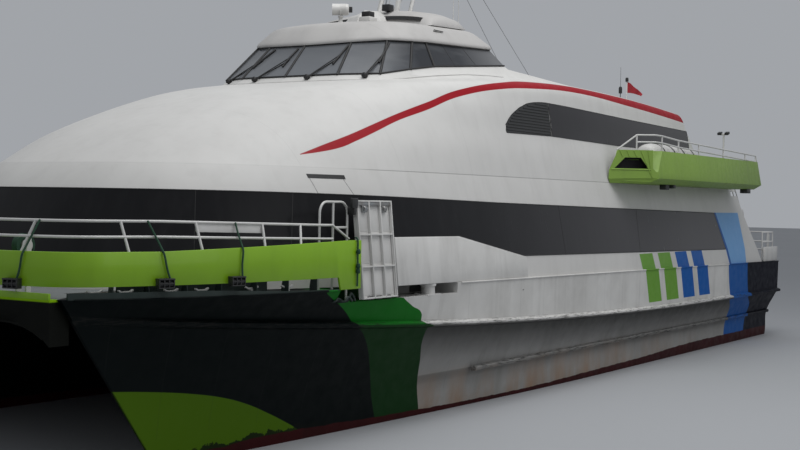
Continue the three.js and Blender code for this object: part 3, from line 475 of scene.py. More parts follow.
def made_tree(name, sockets, kinds, links, defaults=()):
    """A node tree by its sockets, nodes, links and inputs' values, made the first time it is asked for."""
    known = bpy.data.node_groups.get(name)
    if known:
        return known
    tree = bpy.data.node_groups.new(name, "GeometryNodeTree")
    for label, kind in (("Geometry", "Geometry"), *sockets):
        tree.interface.new_socket(label, in_out="INPUT", socket_type="NodeSocket" + kind)
    tree.interface.new_socket("Geometry", in_out="OUTPUT", socket_type="NodeSocketGeometry")
    nodes = {"given": tree.nodes.new("NodeGroupInput"), "result": tree.nodes.new("NodeGroupOutput")}
    for label, kind in kinds.items():
        nodes[label] = tree.nodes.new(kind)
        if kind == "GeometryNodeFilletCurve":
            nodes[label].mode = "POLY"
    for label, socket, value in defaults:
        nodes[label].inputs[socket].default_value = value
    for source, out, target, into in links:
        tree.links.new(nodes[source].outputs[out], nodes[target].inputs[into])
    return tree


# how both trees end
FINISH = (("real", 0, "paint", "Geometry"), ("given", "Paint", "paint", "Material"),
          ("paint", 0, "result", 0))


def bar_tree():
    """Round bars along the lines of a wire mesh, with softened bends and closed ends."""
    return made_tree(
        "round_bars", (("Radius", "Float"), ("Sides", "Int"), ("Bend", "Float"), ("Paint", "Material")),
        {"curve": "GeometryNodeMeshToCurve", "fillet": "GeometryNodeFilletCurve",
         "profile": "GeometryNodeCurvePrimitiveCircle", "sweep": "GeometryNodeCurveToMesh",
         "smooth": "GeometryNodeSetShadeSmooth", "real": "GeometryNodeRealizeInstances",
         "paint": "GeometryNodeSetMaterial"},
        (("given", "Geometry", "curve", "Mesh"), ("curve", 0, "fillet", "Curve"),
         ("given", "Bend", "fillet", "Radius"),
         ("fillet", 0, "sweep", "Curve"), ("given", "Radius", "profile", "Radius"),
         ("given", "Sides", "profile", "Resolution"), ("profile", 0, "sweep", "Profile Curve"),
         ("sweep", 0, "smooth", 0), ("smooth", 0, "real", 0), *FINISH),
        (("fillet", "Count", 5), ("fillet", "Limit Radius", True), ("sweep", "Fill Caps", True)))


def row_tree():
    """Copies of one shape set out evenly along the lines of a wire mesh."""
    return made_tree(
        "evenly_set_out", (("Shape", "Object"), ("Count", "Int"), ("Paint", "Material")),
        {"curve": "GeometryNodeMeshToCurve", "resample": "GeometryNodeResampleCurve",
         "info": "GeometryNodeObjectInfo", "place": "GeometryNodeInstanceOnPoints",
         "real": "GeometryNodeRealizeInstances", "paint": "GeometryNodeSetMaterial"},
        (("given", "Geometry", "curve", "Mesh"), ("curve", 0, "resample", "Curve"),
         ("given", "Count", "resample", "Count"), ("resample", 0, "place", "Points"),
         ("given", "Shape", "info", "Object"), ("info", "Geometry", "place", "Instance"),
         ("place", 0, "real", 0), *FINISH))


def grown(lines, tree, values):
    """Runs a node tree on a wire mesh of these lines and returns the plain mesh that comes out."""
    wire = bpy.data.meshes.new("wire")
    points, edges = [], []
    for line in lines:
        edges += [(len(points) + i, len(points) + i + 1) for i in range(len(line) - 1)]
        points += [tuple(p) for p in line]
    wire.from_pydata(points, edges, [])
    holder = bpy.data.objects.new("wire", wire)
    bpy.context.scene.collection.objects.link(holder)
    step = holder.modifiers.new("grow", "NODES")
    step.node_group = tree
    for item in tree.interface.items_tree:
        if item.in_out == "INPUT" and item.name in values:
            step[item.identifier] = values[item.name]
    graph = bpy.context.evaluated_depsgraph_get()
    mesh = bpy.data.meshes.new_from_object(holder.evaluated_get(graph))
    bpy.data.objects.remove(holder)
    return mesh


def bars(name, lines, radius, material, body="ship", slot=None, replaces=(), sides=12, bend=0.0):
    mesh = grown(lines, bar_tree(), {"Radius": radius, "Sides": sides, "Bend": bend, "Paint": material})
    mesh.name = name
    return settle(name, mesh, material, body, replaces, sharp=50)


def bars_both(name, lines, radius, material, body="ship", slot=None, replaces=(), **more):
    for side, sign in SIDES.items():
        bars(f"{name}_{side}", lines if sign > 0 else [flipped(line) for line in lines], radius, material,
             body.replace("*", side), slot, [n.replace("*", side) for n in replaces], **more)


def row_of(name, parts, lines, count, material, body="ship"):
    """A row of like shapes, each built about the origin, along lines."""
    shape = bpy.data.objects.new("shape", mesh_of("shape", parts))
    bpy.context.scene.collection.objects.link(shape)
    mesh = grown(lines, row_tree(), {"Shape": shape, "Count": count, "Paint": material})
    bpy.data.objects.remove(shape)
    mesh.name = name
    return settle(name, mesh, material, body)


# ---- Shader maths ----


def tone(red, green, blue):
    """A screen colour, 0 to 255, as the linear colour that shaders use."""
    def line(v):
        v /= 255.0
        return v / 12.92 if v <= 0.04045 else ((v + 0.055) / 1.055) ** 2.4
    return (line(red), line(green), line(blue), 1.0)


class Wire:
    """One output in a shader; arithmetic on it adds the Math nodes that work it out."""

    def __init__(self, shader, socket):
        self.shader, self.socket = shader, socket

    def __add__(self, other):
        return self.shader.math("ADD", self, other)

    def __radd__(self, other):
        return self.shader.math("ADD", other, self)

    def __sub__(self, other):
        return self.shader.math("SUBTRACT", self, other)

    def __rsub__(self, other):
        return self.shader.math("SUBTRACT", other, self)

    def __mul__(self, other):
        return self.shader.math("MULTIPLY", self, other)

    def __rmul__(self, other):
        return self.shader.math("MULTIPLY", other, self)

    def __truediv__(self, other):
        return self.shader.math("DIVIDE", self, other)

    def __neg__(self):
        return self.shader.math("MULTIPLY", self, -1.0)

    def __abs__(self):
        return self.shader.math("ABSOLUTE", self)

    def past(self, edge, soft=0.006):
        """0 below an edge and 1 above it; the edge may be another wire."""
        return ((self - edge) / (2.0 * soft) + 0.5).held()

    def held(self, low=0.0, high=1.0):
        return self.shader.math("MAXIMUM", self.shader.math("MINIMUM", self, high), low)

    def ramp(self, low, high, start=0.0, end=1.0):
        made = self.shader.node("ShaderNodeMapRange", {"Value": self, "From Min": low, "From Max": high,
                                                       "To Min": start, "To Max": end})
        return Wire(self.shader, made.outputs[0])

    def along(self, points):
        """The height of a smooth line at this value; points are (value, height), values rising."""
        start, end = points[0][0], points[-1][0]
        low, high = min(b for _, b in points), max(b for _, b in points)
        made = self.shader.node("ShaderNodeFloatCurve", {"Value": (self - start) / (end - start)})
        made.mapping.extend = "HORIZONTAL"
        line = made.mapping.curves[0]
        spots = [((a - start) / (end - start), (b - low) / (high - low)) for a, b in points]
        line.points[0].location, line.points[1].location = spots[0], spots[-1]
        for spot in spots[1:-1]:
            line.points.new(*spot)
        for spot in line.points:
            spot.handle_type = "AUTO_CLAMPED"
        made.mapping.update()
        return Wire(self.shader, made.outputs[0]) * (high - low) + low


class Shader:
    """A material being made: node() adds any node, and the rest are short cuts to it."""

    def __init__(self, name):
        self.material = bpy.data.materials.new(name)
        self.material.use_nodes = True
        self.tree = self.material.node_tree
        self.tree.nodes.clear()
        self.result = self.tree.nodes.new("ShaderNodeOutputMaterial")
        place = self.node("ShaderNodeTexCoord")
        self.place = Wire(self, place.outputs["Object"])
        parts = self.node("ShaderNodeSeparateXYZ", {"Vector": self.place})
        self.x, self.y, self.z = (Wire(self, parts.outputs[i]) for i in range(3))

    def node(self, kind, values=None, **settings):
        made = self.tree.nodes.new(kind)
        for key, value in settings.items():
            setattr(made, key, value)
        for key, value in (values or {}).items():
            socket = made.inputs[key]
            if isinstance(value, Wire):
                self.tree.links.new(value.socket, socket)
            else:
                socket.default_value = value
        return made

    def math(self, operation, a, b=0.0):
        return Wire(self, self.node("ShaderNodeMath", {0: a, 1: b}, operation=operation).outputs[0])

    def mix(self, share, a, b):
        """Colour a turning into colour b."""
        made = self.node("ShaderNodeMix", {0: share, 6: a, 7: b}, data_type="RGBA")
        return Wire(self, made.outputs[2])

    def noise(self, scale, stretch=(1.0, 1.0, 1.0), detail=4.0, rough=0.55, shift=(0.0, 0.0, 0.0)):
        spot = self.node("ShaderNodeMapping", {"Vector": self.place, "Scale": stretch, "Location": shift})
        made = self.node("ShaderNodeTexNoise", {"Vector": Wire(self, spot.outputs[0]), "Scale": scale,
                                               "Detail": detail, "Roughness": rough})
        return Wire(self, made.outputs[0])

    def up(self):
        """How far the surface faces upward."""
        normal = Wire(self, self.node("ShaderNodeNewGeometry").outputs["Normal"])
        return Wire(self, self.node("ShaderNodeSeparateXYZ", {"Vector": normal}).outputs[2])

    def done(self, colour, rough, bump=None, strength=0.2, depth=0.01, **more):
        """Closes the material with one surface shader."""
        values = {"Base Color": colour, "Roughness": rough}
        for key, value in more.items():
            values[key.replace("_", " ")] = value
        if bump is not None:
            made = self.node("ShaderNodeBump", {"Height": bump, "Strength": strength, "Distance": depth})
            values["Normal"] = Wire(self, made.outputs[0])
        surface = self.node("ShaderNodeBsdfPrincipled", values)
        self.tree.links.new(surface.outputs[0], self.result.inputs[0])
        return self.material


GRIME = tone(70, 62, 50)


def weathered(s, colour, dirt=0.25, streak=0.18, grime=GRIME):
    """A paint colour with cloudy dirt, and streaks that run down it."""
    cloud = s.noise(0.9, detail=6.0).ramp(0.35, 0.75)
    runs = s.noise(3.0, (1.0, 1.0, 0.06), detail=5.0).ramp(0.5, 0.8)
    return s.mix(cloud * dirt + runs * streak, colour, grime)


def sheet_metal(s, scale=1.6):
    """Slight hollows between frames, as welded plate has, with fine paint texture."""
    return s.noise(scale, detail=2.0) + s.noise(60.0, detail=2.0) * 0.03


def worn(s, rough, scale=7.0, detail=6.0, much=0.2):
    """A paint's roughness, which grows where the paint is worn."""
    return s.noise(scale, detail=detail).ramp(0.3, 0.8) * much + rough


def paint_shader(name, colour, rough=0.4, dirt=0.2, streak=0.12, strength=0.12, coat=0.1, grime=GRIME):
    s = Shader(name)
    return s.done(weathered(s, colour, dirt, streak, grime), worn(s, rough), sheet_metal(s), strength, 0.02,
                  Coat_Weight=coat)


def made_once(function):
    """A material by this name is made the first time it is asked for."""
    def named():
        known = bpy.data.materials.get(function.__name__)
        return known or function()
    return named


# Edges of paint read off the photograph, as (metres aft of midships, height)
RED_TOP = ((-10.78, 5.64), (-10.0, 5.88), (-9.2, 6.11), (-8.3, 6.38), (-7.2, 6.71), (-6.13, 7.01),
           (-4.41, 7.48), (-2.46, 7.8), (-0.74, 7.97), (2.0, 8.03), (3.69, 8.01), (6.48, 7.95), (9.52, 7.80),
           (11.0, 7.72))
RED_FOOT = ((-10.78, 5.63), (-10.3, 5.70), (-9.7, 5.81), (-9.1, 5.985), (-8.3, 6.235), (-7.33, 6.54),
            (-6.27, 6.82), (-4.55, 7.3), (-2.76, 7.6), (-1.4, 7.73), (1.66, 7.85), (5.24, 7.74), (9.6, 7.53),
            (11.0, 7.44))
PATCH_TOP = ((-16.6, 1.50), (-15.88, 1.45), (-15.02, 1.36), (-14.16, 1.24), (-13.4, 1.09), (-12.78, 0.91),
             (-12.14, 0.66), (-11.6, 0.42), (-11.18, 0.21), (-10.7, -0.1))
BOTTOM_TOP = ((-13.2, 0.15), (-12.0, 0.21), (-8.7, 0.15), (-3.0, 0.1), (0.2, 0.15), (4.8, 0.21), (11.5, 0.33),
              (17.0, 0.33))
# Edges of paint as (height, x)
BAND_FRONT = ((2.6, -11.95), (3.32, -11.62), (4.5, -11.13), (5.2, -10.84))
DARK_AFT = ((0.07, 8.68), (1.19, 9.23), (2.04, 9.93), (2.26, 10.31), (2.57, 10.77), (2.96, 11.6))
GREEN_AFT = ((0.07, 7.09), (1.17, 7.47), (1.94, 7.78), (2.08, 7.76), (2.17, 8.07), (2.34, 8.09), (2.54, 8.49),
             (2.74, 8.89), (3.0, 9.3))
BLUE_FRONT = ((0.39, -12.42), (0.94, -12.55), (1.73, -11.79), (2.74, -11.52), (3.2, -11.5))
NAVY_FRONT = ((0.33, -14.55), (1.0, -14.72), (1.74, -13.73), (2.73, -13.53), (3.2, -13.5))
# Painted shade under a strake, with some grime in it, as (metres below the upper strake, share) and (metres
# below the waterline, share)
STRAKE_SHADE = ((0.0, 0.0), (0.05, 0.96), (0.4, 0.84), (0.67, 0.70), (0.9, 0.58), (1.3, 0.50), (3.0, 0.46))
LOW_STRAKE_SHADE = ((-0.92, 0.0), (-0.86, 0.5), (-0.66, 0.24), (-0.4, 0.06), (0.0, 0.0))
LOW_STRAKE_Z = 0.9


@made_once
def house_paint():
    """White topsides paint with the red stripe, the pale blue band aft and the seams of the dome."""
    look = colours()
    s = Shader("house_paint")
    x, z = s.x, s.z
    stripe_front, band_top_z, band_back, edge_wide, seam_z, rib_gap = 10.76, 4.56, -13.66, 0.2, 5.385, 1.45
    stripe = (1.0 - z.past((-x).along(RED_TOP))) * z.past((-x).along(RED_FOOT))
    stripe = stripe * (1.0 - x.past(stripe_front)) * z.past(5.5)
    band_front = z.along(BAND_FRONT)
    quarter = (1.0 - x.past(band_front)) * (1.0 - z.past(band_top_z))
    low = 1.0 - z.past(5.6, 1.6)
    shell = s.mix(low * 0.25 + z.past(8.55, 0.08) * 0.8, tuple(look.white), tone(172, 170, 168))
    colour = weathered(s, shell, 0.07, 0.07)
    bars_at, shade = slanted_bars(s)
    colour = s.mix(bars_at, colour, shade)
    colour = s.mix(stripe, colour, tuple(look.red))
    colour = s.mix(quarter * x.past(band_back), colour, tuple(look.pale_blue))
    colour = s.mix(quarter * x.past(band_front - edge_wide), colour, tuple(look.blue))
    seam = (1.0 - abs(z - seam_z).past(0.009, 0.004)) * (1.0 - x.past(9.3, 0.4) * 0.8)
    ribs = (1.0 - abs(s.math("PINGPONG", x + 0.7, rib_gap)).past(0.007, 0.004)) * z.past(5.4) * 0.35
    colour = s.mix(seam * 0.45 + ribs * 0.25, colour, tone(60, 60, 60))
    height = sheet_metal(s, 1.3) - seam * 0.8 - ribs * 0.4
    return s.done(colour, worn(s, 0.42, 5.0), height, 0.12, 0.02, Coat_Weight=0.04, Specular_IOR_Level=0.18)


@made_once
def hull_paint():
    """Red bottom, lime and dark green bow, white middle and blue quarters, with scuffs, stains and painted
    shade under the strakes, on the bow and in the tunnel.
    """
    look = colours()
    s = Shader("hull_paint")
    x, z, out = s.x, s.z, abs(s.y)
    outer = out.past(HULL_CENTRE, 0.02)
    dark_aft, green_aft = x.past(z.along(DARK_AFT)), x.past(z.along(GREEN_AFT))
    strake, bottom_top = strake_line(s), (-x).along(BOTTOM_TOP)
    white = weathered(s, tuple(look.white), 0.22, 0.16)
    # Painted shade under the upper and the lower strake, made a little patchy, with some grime in it.
    shade_patchiness = 1.0 - s.noise(1.6, (1.0, 1.0, 0.3), detail=4.0) * 0.08
    white = s.mix((strake - z).along(STRAKE_SHADE) * shade_patchiness, white, tone(36, 36, 35))
    white = s.mix((-z).along(LOW_STRAKE_SHADE) * shade_patchiness, white, tone(48, 48, 46))
    rusty = s.noise(1.1, (1.0, 1.0, 0.35), detail=6.0, shift=(3.0, 0.0, 0.0)).ramp(0.40, 0.66)
    rusty = rusty * (1.0 - z.past(0.62, 0.42))
    white = s.mix(rusty * x.past(-6.0, 5.0) * 0.8, white, tone(146, 108, 74))
    low = (1.0 - z.past(0.7, 0.6)) * s.noise(2.2, detail=6.0).ramp(0.2, 0.7)
    white = s.mix(low * 0.3, white, tone(120, 116, 104))
    colour = s.mix(green_aft, white, tuple(look.mid_green))
    # Below the strake the green strip takes a darker copy of its green, as painted shade.
    below = s.mix(green_aft, white, tuple(look.deep_green))
    colour = s.mix(z.past(strake), below, colour)
    # The bow's dark green is its paint, darkened further with painted shade.
    colour = s.mix(dark_aft, colour, tuple(look.bow_dark))
    # The lime patch is real paint, with its colour darkened by painted shade.
    colour = s.mix(x.past(9.0) * (1.0 - z.past((-x).along(PATCH_TOP))), colour, tuple(look.patch_lime))
    colour = s.mix(1.0 - x.past(z.along(BLUE_FRONT)), colour, tuple(look.blue))
    colour = s.mix(1.0 - x.past(z.along(NAVY_FRONT)), colour, tuple(look.navy))
    bars_at, shade = slanted_bars(s)
    colour = s.mix(bars_at, colour, shade)
    # Forward of x = 9 the inboard side is near black, as painted shade of the tunnel.
    inside = s.mix(x.past(9.0), white, tuple(look.bow_dark))
    colour = s.mix(outer, inside, colour)
    scuff = s.noise(9.0, (0.35, 1.0, 4.0), detail=8.0, rough=0.7).ramp(0.50, 0.60)
    at_low_strake = (1.0 - abs(z - LOW_STRAKE_Z).past(0.07, 0.03)) * out.past(4.6)
    rubbed = (1.0 - abs(z - strake).past(0.07, 0.03)) + at_low_strake
    colour = s.mix(scuff * rubbed * 0.75, colour, tone(34, 33, 31))
    frames = (1.0 - abs(s.math("PINGPONG", x, 0.62)).past(0.012, 0.01)) * z.past(0.5)
    colour = s.mix(frames * 0.10, colour, tone(40, 40, 40))
    red = weathered(s, tuple(look.bottom_red), 0.5, 0.3, tone(28, 14, 12))
    ragged = s.noise(3.2, detail=7.0) * 0.06
    weed = bottom_top + s.noise(2.6, detail=8.0, rough=0.65, shift=(1.0, 4.0, 2.0)).ramp(0.42, 0.7) * 0.22
    colour = s.mix((1.0 - z.past(weed)) * x.past(10.4, 1.2) * (1.0 - x.past(14.6, 0.9)) * 0.9, colour,
                   tone(10, 14, 10))
    colour = s.mix(1.0 - z.past(bottom_top + ragged - 0.03), colour, red)
    height = sheet_metal(s, 1.1) * 1.4 + frames * 0.25 - scuff * rubbed * 0.3
    return s.done(colour, worn(s, 0.42, 4.0, 7.0, 0.25), height, 0.16, 0.02, Specular_IOR_Level=0.09)


def strake_line(s):
    """Height of the upper rubbing strake's middle at the shaded point."""
    run = (s.x + 9.0).held(0.0, 40.0)
    return run * run * 0.0015 + 1.7


def slanted_bars(s):
    """Four plain slanted bars on the ship's quarter, two green and two blue: their mask and their colour."""
    look = colours()
    first, pitch, wide, slant, foot, head = -4.3, 1.42, 1.0, 0.36, 1.90, 3.34
    lean = -s.x + first + (s.z - 2.4) * slant
    step = s.math("FLOOR", lean / pitch)
    inside = (lean / pitch - step) * pitch
    mask = (1.0 - inside.past(wide)) * step.past(-0.5, 0.01) * (1.0 - step.past(3.5, 0.01))
    mask = mask * s.z.past(foot) * (1.0 - s.z.past(head)) * abs(s.y).past(4.0)
    return mask, s.mix(step.past(1.5, 0.01), tuple(look.bar_green), tuple(look.bar_blue))


@made_once
def bulwark_paint():
    return paint_shader("bulwark_paint", tuple(colours().lime), 0.38, 0.14, 0.10, 0.14, 0.2, tone(60, 78, 22))


@made_once
def platform_paint():
    """Green paint over panels whose joints show toward the platform's aft end."""
    s = Shader("platform_paint")
    joints = (1.0 - abs(s.math("PINGPONG", s.x, 0.19)).past(0.016, 0.008)) * (1.0 - s.x.past(-8.6, 0.5))
    colour = weathered(s, tuple(colours().platform_green), 0.14, 0.16, tone(74, 92, 50))
    colour = s.mix(joints * 0.30, colour, tone(70, 88, 44))
    return s.done(colour, worn(s, 0.42), sheet_metal(s) - joints * 0.5, 0.14, 0.02)


# Dark green paint. On the band's brackets and on the board behind the band it stands for painted shade.
@made_once
def dark_green_and_shade_paint():
    return paint_shader("dark_green_and_shade_paint", tone(16, 36, 32), 0.55, 0.35, 0.2, 0.14, 0.0, tone(52, 58, 54))


@made_once
def rail_paint():
    return paint_shader("rail_paint", tuple(colours().white), 0.32, 0.15, 0.1, 0.1, 0.3)


@made_once
def fitting_paint():
    """Off-white paint of masts, ramps and canisters, darker in its hollow corners."""
    s = Shader("fitting_paint")
    corners = Wire(s, s.node("ShaderNodeNewGeometry").outputs["Pointiness"]).ramp(0.42, 0.5, 1.0, 0.0)
    colour = s.mix(corners * 0.35, weathered(s, tuple(colours().white), 0.2, 0.2), tone(96, 92, 84))
    return s.done(colour, worn(s, 0.38, 6.0, much=0.25), sheet_metal(s, 4.0), 0.12, 0.01, Coat_Weight=0.1)


@made_once
def deck_paint():
    """Grey non-slip deck paint, gritty and stained."""
    s = Shader("deck_paint")
    grit = s.noise(220.0, detail=2.0)
    worn = s.noise(0.8, detail=7.0).ramp(0.4, 0.7)
    colour = s.mix(worn * 0.5, tuple(colours().deck_grey), tone(82, 84, 80))
    return s.done(colour, worn * 0.15 + 0.7, grit + worn * 0.5, 0.35, 0.004)


@made_once
def bridge_deck_paint():
    """The bridge deck: grey on top, lime on the rounded front down to 3.02 m and near black below that as
    painted shade, and dull white under the tunnel.
    """
    look = colours()
    s = Shader("bridge_deck_paint")
    top = s.up().past(0.8, 0.05)
    front = s.x.past(16.2, 0.02)
    under = weathered(s, tone(112, 112, 106), 0.4, 0.3)
    # Below 3.02 m the front is near black: painted shade over the lime fascia and the tunnel's mouth.
    colour = s.mix(front, under, s.mix(s.z.past(3.02, 0.01), tone(7, 9, 5), tuple(look.lime)))
    colour = s.mix(top * (1.0 - s.x.past(17.02)), colour, tuple(look.deck_grey))
    return s.done(colour, s.noise(3.0, detail=6.0) * 0.3 + 0.45, sheet_metal(s), 0.15, 0.02,
                  Specular_IOR_Level=0.1)


def glass_shader(name, front, aft, turn, rough=0.08, ghost_reflections=0.0, pale=None):
    """Dark glass that mirrors the sky, with painted reflection: its colour turns from one to another aft of a
    place, and it may carry a pale painted reflection and pale ghosts.
    """
    s = Shader(name)
    haze = s.noise(0.7, (1.0, 1.0, 0.25), detail=5.0).ramp(0.3, 0.75)
    salt = s.noise(5.0, (1.0, 1.0, 0.08), detail=6.0).ramp(0.5, 0.85)
    # The turn from the front colour to the aft colour is painted reflection.
    colour = s.mix(s.x.ramp(turn[0], turn[1]), front, aft)
    # A pale painted reflection that grows aft of a place.
    if pale:
        colour = s.mix(s.x.ramp(*pale), colour, tone(106, 107, 109))
    colour = s.mix(haze * 0.07 + salt * 0.04, colour, tone(88, 88, 90))
    # Pale ghosts of painted reflection.
    if ghost_reflections:
        painted_glint = s.noise(1.3, (0.3, 0.3, 1.6), detail=3.0, shift=(7.0, 2.0, 1.0)).ramp(0.45, 0.7)
        colour = s.mix(painted_glint * ghost_reflections, colour, tone(120, 122, 124))
    wavy = s.noise(0.45, detail=1.0)
    return s.done(colour, salt * 0.12 + haze * 0.08 + rough, wavy, 0.05, 0.05, Specular_IOR_Level=0.12)


@made_once
def cabin_glass():
    # Painted reflection: dark forward, turning grey aft between x = 5 and x = -8.5.
    return glass_shader("cabin_glass", tone(22, 22, 24), tone(74, 73, 75), (5.0, -8.5), 0.16)


@made_once
def bridge_glass():
    # Painted reflection: pale at the front, dark aft of x = 4.5, pale again aft of x = 0.6, with pale ghosts.
    return glass_shader("bridge_glass", tone(112, 115, 119), tone(52, 54, 58), (6.4, 4.5), 0.10, 0.4,
                        (2.6, 0.6))


@made_once
def gasket():
    s = Shader("gasket")
    return s.done(s.mix(s.noise(12.0).ramp(0.3, 0.8) * 0.4, tone(22, 22, 23), tone(48, 47, 45)),
                  s.noise(20.0) * 0.3 + 0.45, s.noise(40.0), 0.1, 0.002)


@made_once
def black_paint():
    return paint_shader("black_paint", tone(26, 26, 27), 0.4, 0.3, 0.1, 0.1, 0.1, tone(70, 68, 64))


@made_once
def bright_steel():
    s = Shader("bright_steel")
    brushed = s.noise(30.0, (1.0, 1.0, 8.0), detail=4.0)
    stain = s.noise(2.5, detail=7.0).ramp(0.5, 0.75)
    return s.done(s.mix(stain * 0.5, tone(165, 167, 168), tone(120, 100, 78)),
                  brushed * 0.2 + stain * 0.2 + 0.2,
                  brushed, 0.08, 0.002, Metallic=0.9)


@made_once
def rubber():
    s = Shader("rubber")
    chalk = s.noise(6.0, detail=7.0).ramp(0.45, 0.8)
    return s.done(s.mix(chalk * 0.35, tone(30, 32, 32), tone(86, 88, 84)), chalk * 0.15 + 0.62,
                  s.noise(30.0, detail=5.0), 0.25, 0.004)


def rope_shader(name, colour, dirty):
    """Laid rope: strands seen as slanting ridges."""
    s = Shader(name)
    strands = Wire(s, s.node("ShaderNodeTexWave",
                             {"Vector": s.place, "Scale": 28.0, "Distortion": 2.0, "Detail": 2.0},
                             bands_direction="DIAGONAL").outputs[1])
    soil = s.noise(4.0, detail=6.0).ramp(0.35, 0.75)
    return s.done(s.mix(soil * 0.4 + strands * 0.2, colour, dirty), strands * 0.1 + 0.75, strands, 0.5, 0.003)


@made_once
def green_rope():
    return rope_shader("green_rope", tone(32, 74, 52), tone(22, 40, 32))


@made_once
def wire_rope():
    return rope_shader("wire_rope", tone(96, 98, 100), tone(60, 60, 60))


@made_once
def flag_cloth():
    s = Shader("flag_cloth")
    threads = s.noise(240.0, (1.0, 1.0, 1.0), detail=1.0)
    # Darker patches across the red, painted as the shade of folds.
    fold_shade = s.noise(3.0, detail=4.0).ramp(0.35, 0.7)
    return s.done(s.mix(fold_shade * 0.35, tuple(colours().red), tone(120, 14, 34)), threads * 0.1 + 0.75, threads,
                  0.3, 0.001,
                  Sheen_Weight=0.3)


# ---- Adjustable sizes and colours ----


def length_property(name, description, value):
    return bpy.props.FloatProperty(name=name, description=description, default=value, subtype="DISTANCE",
                                   unit="LENGTH")


def colour_property(name, description, value):
    return bpy.props.FloatVectorProperty(name=name, description=description, default=value, size=4,
                                         subtype="COLOR",
                                         min=0.0, max=1.0)


class FerrySizes(bpy.types.PropertyGroup):
    """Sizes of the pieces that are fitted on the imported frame."""

    rail_radius: length_property("Rail radius", "Radius of the white guard rails", 0.024)
    glass_proud: length_property("Glass proud", "How far the window glass stands out of its wall", 0.006)
    glass_thick: length_property("Glass thickness", "Thickness of the window glass", 0.02)
    rope: length_property("Fender rope", "Diameter of the ropes that the fenders hang on", 0.034)
    stay: length_property("Stay", "Diameter of the mast's wire stays", 0.012)


class FerryColours(bpy.types.PropertyGroup):
    """Paint colours; a few of them are darkened with painted shade."""

    white: colour_property("White", "Topsides and houses", tone(206, 205, 202))
    lime: colour_property("Lime", "Bulwark band round the foredeck", tone(128, 174, 4))
    platform_green: colour_property("Platform green", "Platforms on the upper sides", tone(126, 158, 62))
    mid_green: colour_property("Mid green", "Strip aft of the dark bow", tone(20, 100, 27))
    # The strip's green, darkened as painted shade for where it lies below the strake.
    deep_green: colour_property("Deep green", "The same strip below the strake", tone(14, 50, 17))
    # Dark green bow paint, darkened further with painted shade.
    bow_dark: colour_property("Bow dark", "Nearly black green of the bow", tone(2, 9, 9))
    # Real lime patch, with its colour darkened by painted shade.
    patch_lime: colour_property("Patch lime", "Lime patch at the stem's foot", tone(70, 102, 10))
    blue: colour_property("Blue", "Mid blue of the quarter", tone(26, 84, 152))
    pale_blue: colour_property("Pale blue", "Band aft of the windows", tone(112, 160, 208))
    navy: colour_property("Navy", "Dark blue of the stern", tone(5, 8, 24))
    bar_green: colour_property("Bar green", "Slanted green bars", tone(104, 152, 58))
    bar_blue: colour_property("Bar blue", "Slanted blue bars", tone(18, 86, 160))
    red: colour_property("Red", "Stripe and flag", tone(146, 0, 20))
    bottom_red: colour_property("Bottom red", "Paint below the water's surface", tone(58, 15, 17))
    deck_grey: colour_property("Deck grey", "Non-slip deck paint", tone(112, 116, 116))


def sizes():
    return bpy.context.scene.ferry_sizes


def colours():
    return bpy.context.scene.ferry_colours


# ---- Camera, ropes and flag ----


# The photograph's camera, fitted to the ferry's proportions; the last three are in the photograph's pixels
CAMERA_PLACE = (31.6, 19.45, 4.70)
CAMERA_HEADING, CAMERA_ROLL = math.radians(32.7), math.radians(1.0)
PHOTO_WIDTH, FOCAL_LENGTH, HORIZON_ABOVE_MIDDLE = 800.0, 1300.0, 22.0
SENSOR_WIDTH = 36.0


class FERRY_OT_camera(bpy.types.Operator):
    """Sets the camera where the photograph was taken from"""

    bl_idname = "ferry.camera"
    bl_label = "Camera"

    def execute(self, context):
        pitch = math.atan(HORIZON_ABOVE_MIDDLE / FOCAL_LENGTH)
        ahead = Vector((-math.cos(CAMERA_HEADING), -math.sin(CAMERA_HEADING), 0.0))
        right = Vector((-math.sin(CAMERA_HEADING), math.cos(CAMERA_HEADING), 0.0))
        up = Vector((0.0, 0.0, 1.0))
        look = ahead * math.cos(pitch) - up * math.sin(pitch)
        level = up * math.cos(pitch) + ahead * math.sin(pitch)
        across = right * math.cos(CAMERA_ROLL) + level * math.sin(CAMERA_ROLL)
        rise = -right * math.sin(CAMERA_ROLL) + level * math.cos(CAMERA_ROLL)
        data = bpy.data.cameras.new("photo_camera")
        data.lens, data.sensor_width = SENSOR_WIDTH * FOCAL_LENGTH / PHOTO_WIDTH, SENSOR_WIDTH
        data.clip_start, data.clip_end = 0.1, 500.0
        camera = bpy.data.objects.new("photo_camera", data)
        context.scene.collection.objects.link(camera)
        turn = Matrix((across, rise, -look)).transposed().to_4x4()
        camera.matrix_world = Matrix.Translation(CAMERA_PLACE) @ turn
        context.scene.camera = camera
        context.scene.view_settings.view_transform = "Standard"
        return {"FINISHED"}


# x and y of the bow band's centre line to port, from the gates to the bow
BAND_PLAN = [(x, deck_edge(x) - 0.015) for x in (10.56, 11.24, 12.2, 13.2, 14.1, 14.9, 15.6, 16.2, 16.65)] + [
    (17.0, 3.56), (17.19, 2.9), (17.29, 1.8), (17.33, 0.0)]
BAND_LAST = len(BAND_PLAN) - 1.0
# half the band's thickness, and how far beside its centre line the rail runs
BAND_HALF, RAIL_BESIDE = 0.02, -0.23


def band_plan(share):
    """The band's centre line to port; share counts the points of BAND_PLAN."""
    x, y, _ = spline([(a, b, 0.0) for a, b in BAND_PLAN], share)
    return x, y


def band_beside(share, out):
    """A point beside the band's centre line, outward where out is positive."""
    ax, ay = band_plan(max(0.0, share - 0.02))
    bx, by = band_plan(min(BAND_LAST, share + 0.02))
    if share > BAND_LAST - 0.02:
        ax, ay, bx, by = 0.0, 1.0, 0.0, 0.0
    size = math.hypot(bx - ax, by - ay)
    x, y = band_plan(share)
    return x - (by - ay) / size * out, y + (bx - ax) / size * out


